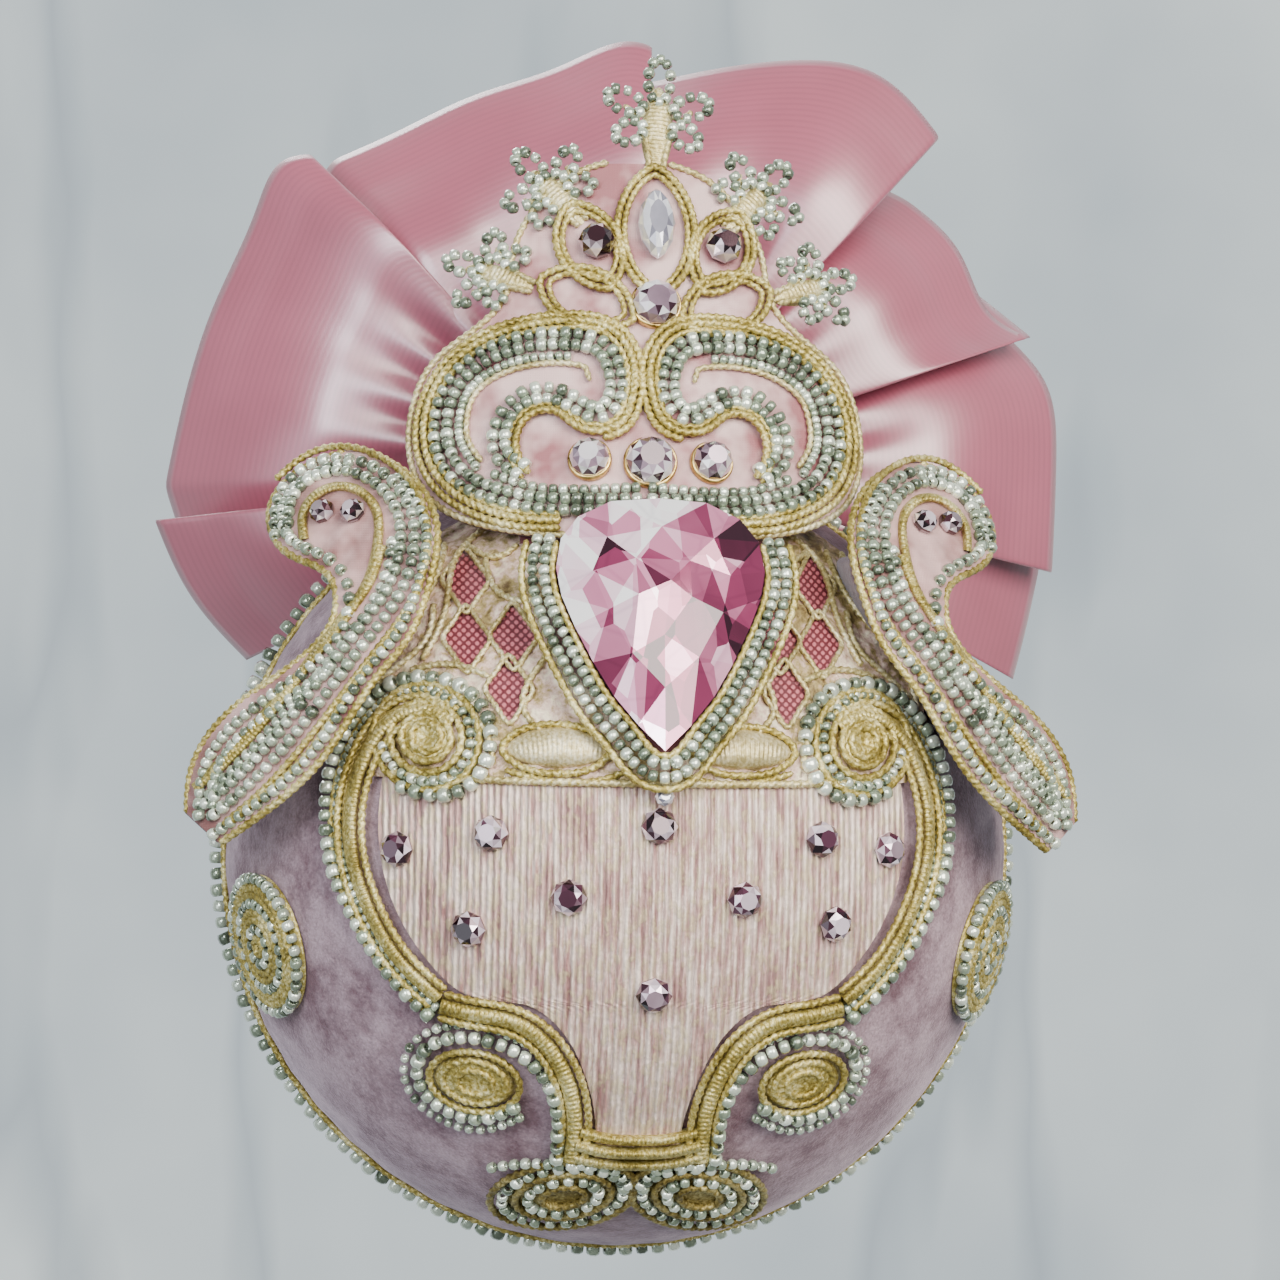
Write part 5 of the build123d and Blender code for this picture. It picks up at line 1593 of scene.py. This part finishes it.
# ------------------------------------------------------------------ ribbon fan
@dataclass
class Fan:
    """Wide satin ribbon in knife pleats round the back of the crown.

    Each pleat's face runs clockwise to a corner at the front, folds back under itself, folds
    again and comes out as the next face. The inner edge is gathered round a hub.
    """

    shop: Workshop
    hub: float = 12.0
    centre: tuple[float, float] = (0.0, 48.5)
    front: float = 6.4
    depth: float = 10.5
    gathered: float = 10.2

    # outer edges of the faces, each as (angle in degrees, radius)
    PLEATS = [
        [(207.4, 54.0), (196.0, 58.0), (185.6, 60.8)],
        [(181.5, 59.4), (172.0, 58.0), (157.0, 57.8), (143.0, 59.6), (136.6, 61.0), (133.2, 58.6)],
        [(131.5, 57.0), (122.0, 55.0), (110.0, 55.0), (97.0, 56.4), (87.4, 59.2), (85.0, 58.4)],
        [(82.6, 55.4), (77.0, 57.6), (68.0, 62.0), (58.0, 66.0), (46.8, 64.4)],
        [(44.4, 56.4), (34.0, 57.4), (24.5, 56.8), (19.6, 60.6)],
        [(21.0, 58.6), (14.0, 61.4), (4.0, 61.0), (-11.0, 61.2)],
        [(-9.6, 60.4), (-18.0, 60.2), (-25.7, 60.8)],
    ]

    def edge(self) -> tuple[Array, Array, float]:
        """Stations along the ribbon.

        Returns:
            Outer edge points, inner edge points and the outer edge's length.
        """
        runs = []
        for number, face in enumerate(self.PLEATS):
            if number:
                angle, radius = face[0]
                runs.append(np.array([self.at(angle + 10.0, radius - 2.0, 0.95)]))
            share = np.linspace(0.55, 0.0, len(face))
            known = np.array([self.at(angle, radius, s) for (angle, radius), s in zip(face, share)])
            runs.append(curve_through(known, 1.0))
        rough = np.concatenate(runs)
        length = np.concatenate([[0], np.cumsum(np.linalg.norm(np.diff(rough, axis=0), axis=1))])
        stations = np.arange(0, length[-1], 0.7)
        line = np.stack([np.interp(stations, length, rough[:, c]) for c in range(3)], 1)
        kernel = np.array([1, 3, 4, 3, 1]) / 12
        padded = np.concatenate([np.repeat(line[:1], 2, 0), line, np.repeat(line[-1:], 2, 0)])
        line = sum(k * padded[i:i + len(line)] for i, k in enumerate(kernel))
        way = np.arctan2(line[:, 2] - self.centre[1], line[:, 0] - self.centre[0])
        hub = np.stack([self.centre[0] + self.hub * np.cos(way), np.full(len(way), self.front + 2.2),
                        self.centre[1] + self.hub * np.sin(way)], 1)
        return line, hub, float(length[-1])

    def at(self, angle: float, radius: float, share: float) -> Array:
        """Point at an angle and radius round the hub, at a share of the folds' depth."""
        a = math.radians(angle)
        return np.array([self.centre[0] + radius * math.cos(a), self.front + share * self.depth,
                         self.centre[1] + radius * math.sin(a)])

    def build(self) -> None:
        """Ribbon surface between the gathered and the free edge, kept off the back of the ball.

        Across the ribbon, w from 0 at the hub to 1, the gathered edge runs back to the disc as
        exp(-w / 0.085), the middle puffs forward as sin(pi * w / 0.86), the free edge falls back
        as (w - 0.58)^1.5, and soft dents cross the puff.
        """
        outer, inner, length = self.edge()
        w = np.linspace(0, 1, 46)[None, :, None]
        stations = np.arange(len(outer)) * 0.7
        grid = inner[:, None] * (1 - w) + outer[:, None] * w
        across, along = w[..., 0], stations[:, None]
        phase = along / 13.0 + 0.9 * np.sin(along / 31.0)
        gather = np.exp(-across / 0.085)
        tucks = 4.4 * np.sin(along * TAU / 12.0) * (1 - gather) * np.exp(-(across / 0.30) ** 2)
        puff = np.sin(math.pi * np.clip(across / 0.86, 0, 1)) * (1.2 + 0.5 * np.sin(phase))
        dents = 1.5 * np.sin(phase * 1.9 + 2.2 * across) * np.clip(across / 0.3, 0, 1) * np.clip((0.95 - across) / 0.4,
                                                                                                 0, 1)
        fall = 11.0 * np.clip((across - 0.58) / 0.42, 0, 1) ** 1.5
        grid[..., 1] += self.gathered * gather + tucks + fall - 1.6 * puff + dents
        reach = (self.shop.radius + 0.7) ** 2 - grid[..., 0] ** 2 - grid[..., 2] ** 2
        grid[..., 1] = np.maximum(grid[..., 1], np.sqrt(np.maximum(reach, 0.0)))
        over = grid[..., 1] - 5.9
        grid[..., 1] = 5.9 + 0.5 * (over + np.sqrt(over ** 2 + 2.2 ** 2)) - 0.1
        uv = np.stack(np.broadcast_arrays(stations[:, None], w[..., 0] * 50.0), -1).reshape(-1, 2)
        shape = Shape(grid.reshape(-1, 3), [grid_faces(len(outer), 46)], uv)
        ribbon = self.shop.add("ribbon_fan", shape, SATIN, "ribbon", "ribbon_ruffle")
        thicken(ribbon, 0.12)
        LOG.info("ribbon length %.1f mm", length)
        round(length * MM, 3)


# ------------------------------------------------------------------ padding
@dataclass
class Padding:
    """Felt wads under the crown, the wings and the drop, and the disc behind the ribbon."""

    shop: Workshop
    grain: float = 0.7

    def build(self) -> None:
        """Builds one wad for each of the four."""
        for node, name, finish in (("crown_pad", "crown_wadding", SETTING_FELT),
                                   ("wing_pads", "wing_wadding", WAD_FELT),
                                   ("drop_setting", "drop_wadding", SETTING_FELT),
                                   ("ruffle_backing", "ribbon_backing_felt", FELT)):
            self.wad(node, name, finish)

    def wad(self, node: str, name: str, finish: Finish) -> None:
        """Felt in the room that a node holds, with its edges worn round and an uneven skin.

        A point moves inwards by 0.09 * (1 + sin(1.9 x) * sin(1.7 y + 1) * sin(2.1 z)) mm.

        Args:
            node: The node that it stands for.
            name: The wad's name.
            finish: Its material.
        """
        work = bmesh.new()
        work.from_mesh(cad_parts[node].data)
        bmesh.ops.remove_doubles(work, verts=work.verts, dist=1e-6)
        bmesh.ops.recalc_face_normals(work, faces=work.faces)
        mesh = bpy.data.meshes.new(name)
        work.to_mesh(mesh)
        work.free()
        rough = bpy.data.objects.new(name + "_rough", mesh)
        bpy.context.scene.collection.objects.link(rough)
        remesh = rough.modifiers.new("felted", "REMESH")
        remesh.mode, remesh.voxel_size = "VOXEL", self.grain * MM
        worn = rough.modifiers.new("worn", "SMOOTH")
        worn.factor, worn.iterations = 0.5, 3
        done = bpy.data.meshes.new_from_object(rough.evaluated_get(bpy.context.evaluated_depsgraph_get()))
        bpy.data.objects.remove(rough)
        points = np.zeros(len(done.vertices) * 3, np.float32)
        normals = np.zeros(len(done.vertices) * 3, np.float32)
        done.vertices.foreach_get("co", points)
        done.vertices.foreach_get("normal", normals)
        points, normals = points.reshape(-1, 3), normals.reshape(-1, 3)
        x, y, z = (points / MM).T
        points -= normals * (0.09 * MM * (1 + np.sin(1.9 * x) * np.sin(1.7 * y + 1) * np.sin(2.1 * z)))[:, None]
        done.vertices.foreach_set("co", points.ravel())
        done.polygons.foreach_set("use_smooth", np.ones(len(done.polygons), bool))
        done.materials.clear()
        done.materials.append(finish.material())
        done.update()
        piece = bpy.data.objects.new(name, done)
        bpy.context.scene.collection.objects.link(piece)
        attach(piece, BODY)
        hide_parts(node)
        self.shop.triangles += 2 * len(done.polygons)
        LOG.info("%-26s %6d faces", name, len(done.polygons))


# ------------------------------------------------------------------ studio
@dataclass
class Studio:
    """Even pale surround, a soft key from the upper right and the camera."""

    shop: Workshop

    def build(self) -> None:
        """Builds the world, lights and camera."""
        world = bpy.data.worlds.new("pale_room")
        world.use_nodes = True
        background = world.node_tree.nodes["Background"]
        background.inputs["Color"].default_value = (*colour("D6DEE2"), 1.0)
        background.inputs["Strength"].default_value = 0.42
        bpy.context.scene.world = world
        slab = bpy.data.meshes.new("marble_slab")
        slab.from_pydata([(-3, 0.9, -3), (3, 0.9, -3), (3, 0.9, 3), (-3, 0.9, 3)], [], [(0, 1, 2, 3)])
        slab.materials.append(Marble("pale_marble").material())
        backdrop = bpy.data.objects.new("marble_slab", slab)
        bpy.context.scene.collection.objects.link(backdrop)
        centre = Vector(self.shop.centre)
        for name, place, size, watts, tint in (
            ("key", (0.36, -0.80, 0.42), 0.70, 21.0, "FFF8F0"), ("front", (-0.42, -0.90, 0.34), 0.40, 9.5, "F4F8FF"),
            ("fill", (-0.75, -0.60, -0.10), 0.60, 2.0, "EAF2FF"), ("rim", (-0.25, 0.55, 0.60), 0.30, 4.0, "FFFFFF"),
        ):
            lamp = bpy.data.lights.new(name, "AREA")
            lamp.shape, lamp.size, lamp.energy, lamp.color = "SQUARE", size, watts, colour(tint)
            holder = bpy.data.objects.new(name, lamp)
            holder.location = centre + Vector(place)
            holder.rotation_euler = (centre - holder.location).to_track_quat("-Z", "Y").to_euler()
            bpy.context.scene.collection.objects.link(holder)
        self.camera(centre)

    def camera(self, centre: Vector) -> None:
        """Long lens nearly square to the front, a little to the right and above the middle."""
        lens = bpy.data.cameras.new("camera")
        lens.lens, lens.sensor_width = LENS_MM, SENSOR_MM
        holder = bpy.data.objects.new("camera", lens)
        turn = Matrix.Rotation(math.radians(CAMERA_TURN), 4, "Z") @ Matrix.Rotation(math.radians(CAMERA_ROLL), 4, "Y")
        place = Matrix.Translation(Vector(CAMERA_PLACE) * MM) @ Matrix.Rotation(math.radians(90), 4, "X")
        holder.matrix_world = Matrix.Translation(centre) @ turn @ place
        bpy.context.scene.collection.objects.link(holder)
        bpy.context.scene.camera = holder


def finish_nodes() -> None:
    """Gives the CAD pieces that are shown as they are their finishes."""
    finishes = {"foam_core": FOAM, "eye_screw": GILT, "bead_cap": GILT, "hanging_ring": GILT}
    for name, finish in finishes.items():
        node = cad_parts[name]
        if not node.material_slots:
            node.data.materials.append(finish.material())
        for place in node.material_slots:
            place.material = finish.material()


def main() -> None:
    logging.basicConfig(level=logging.INFO, format="%(message)s")
    shop = Workshop()
    finish_nodes()
    for maker in (Ball(shop), Panel(shop), Yoke(shop), Wings(shop), Crown(shop), Fan(shop), Padding(shop),
                  Studio(shop)):
        maker.build()
    LOG.info("%d triangles", shop.triangles)


if __name__ == "__main__":
    main()
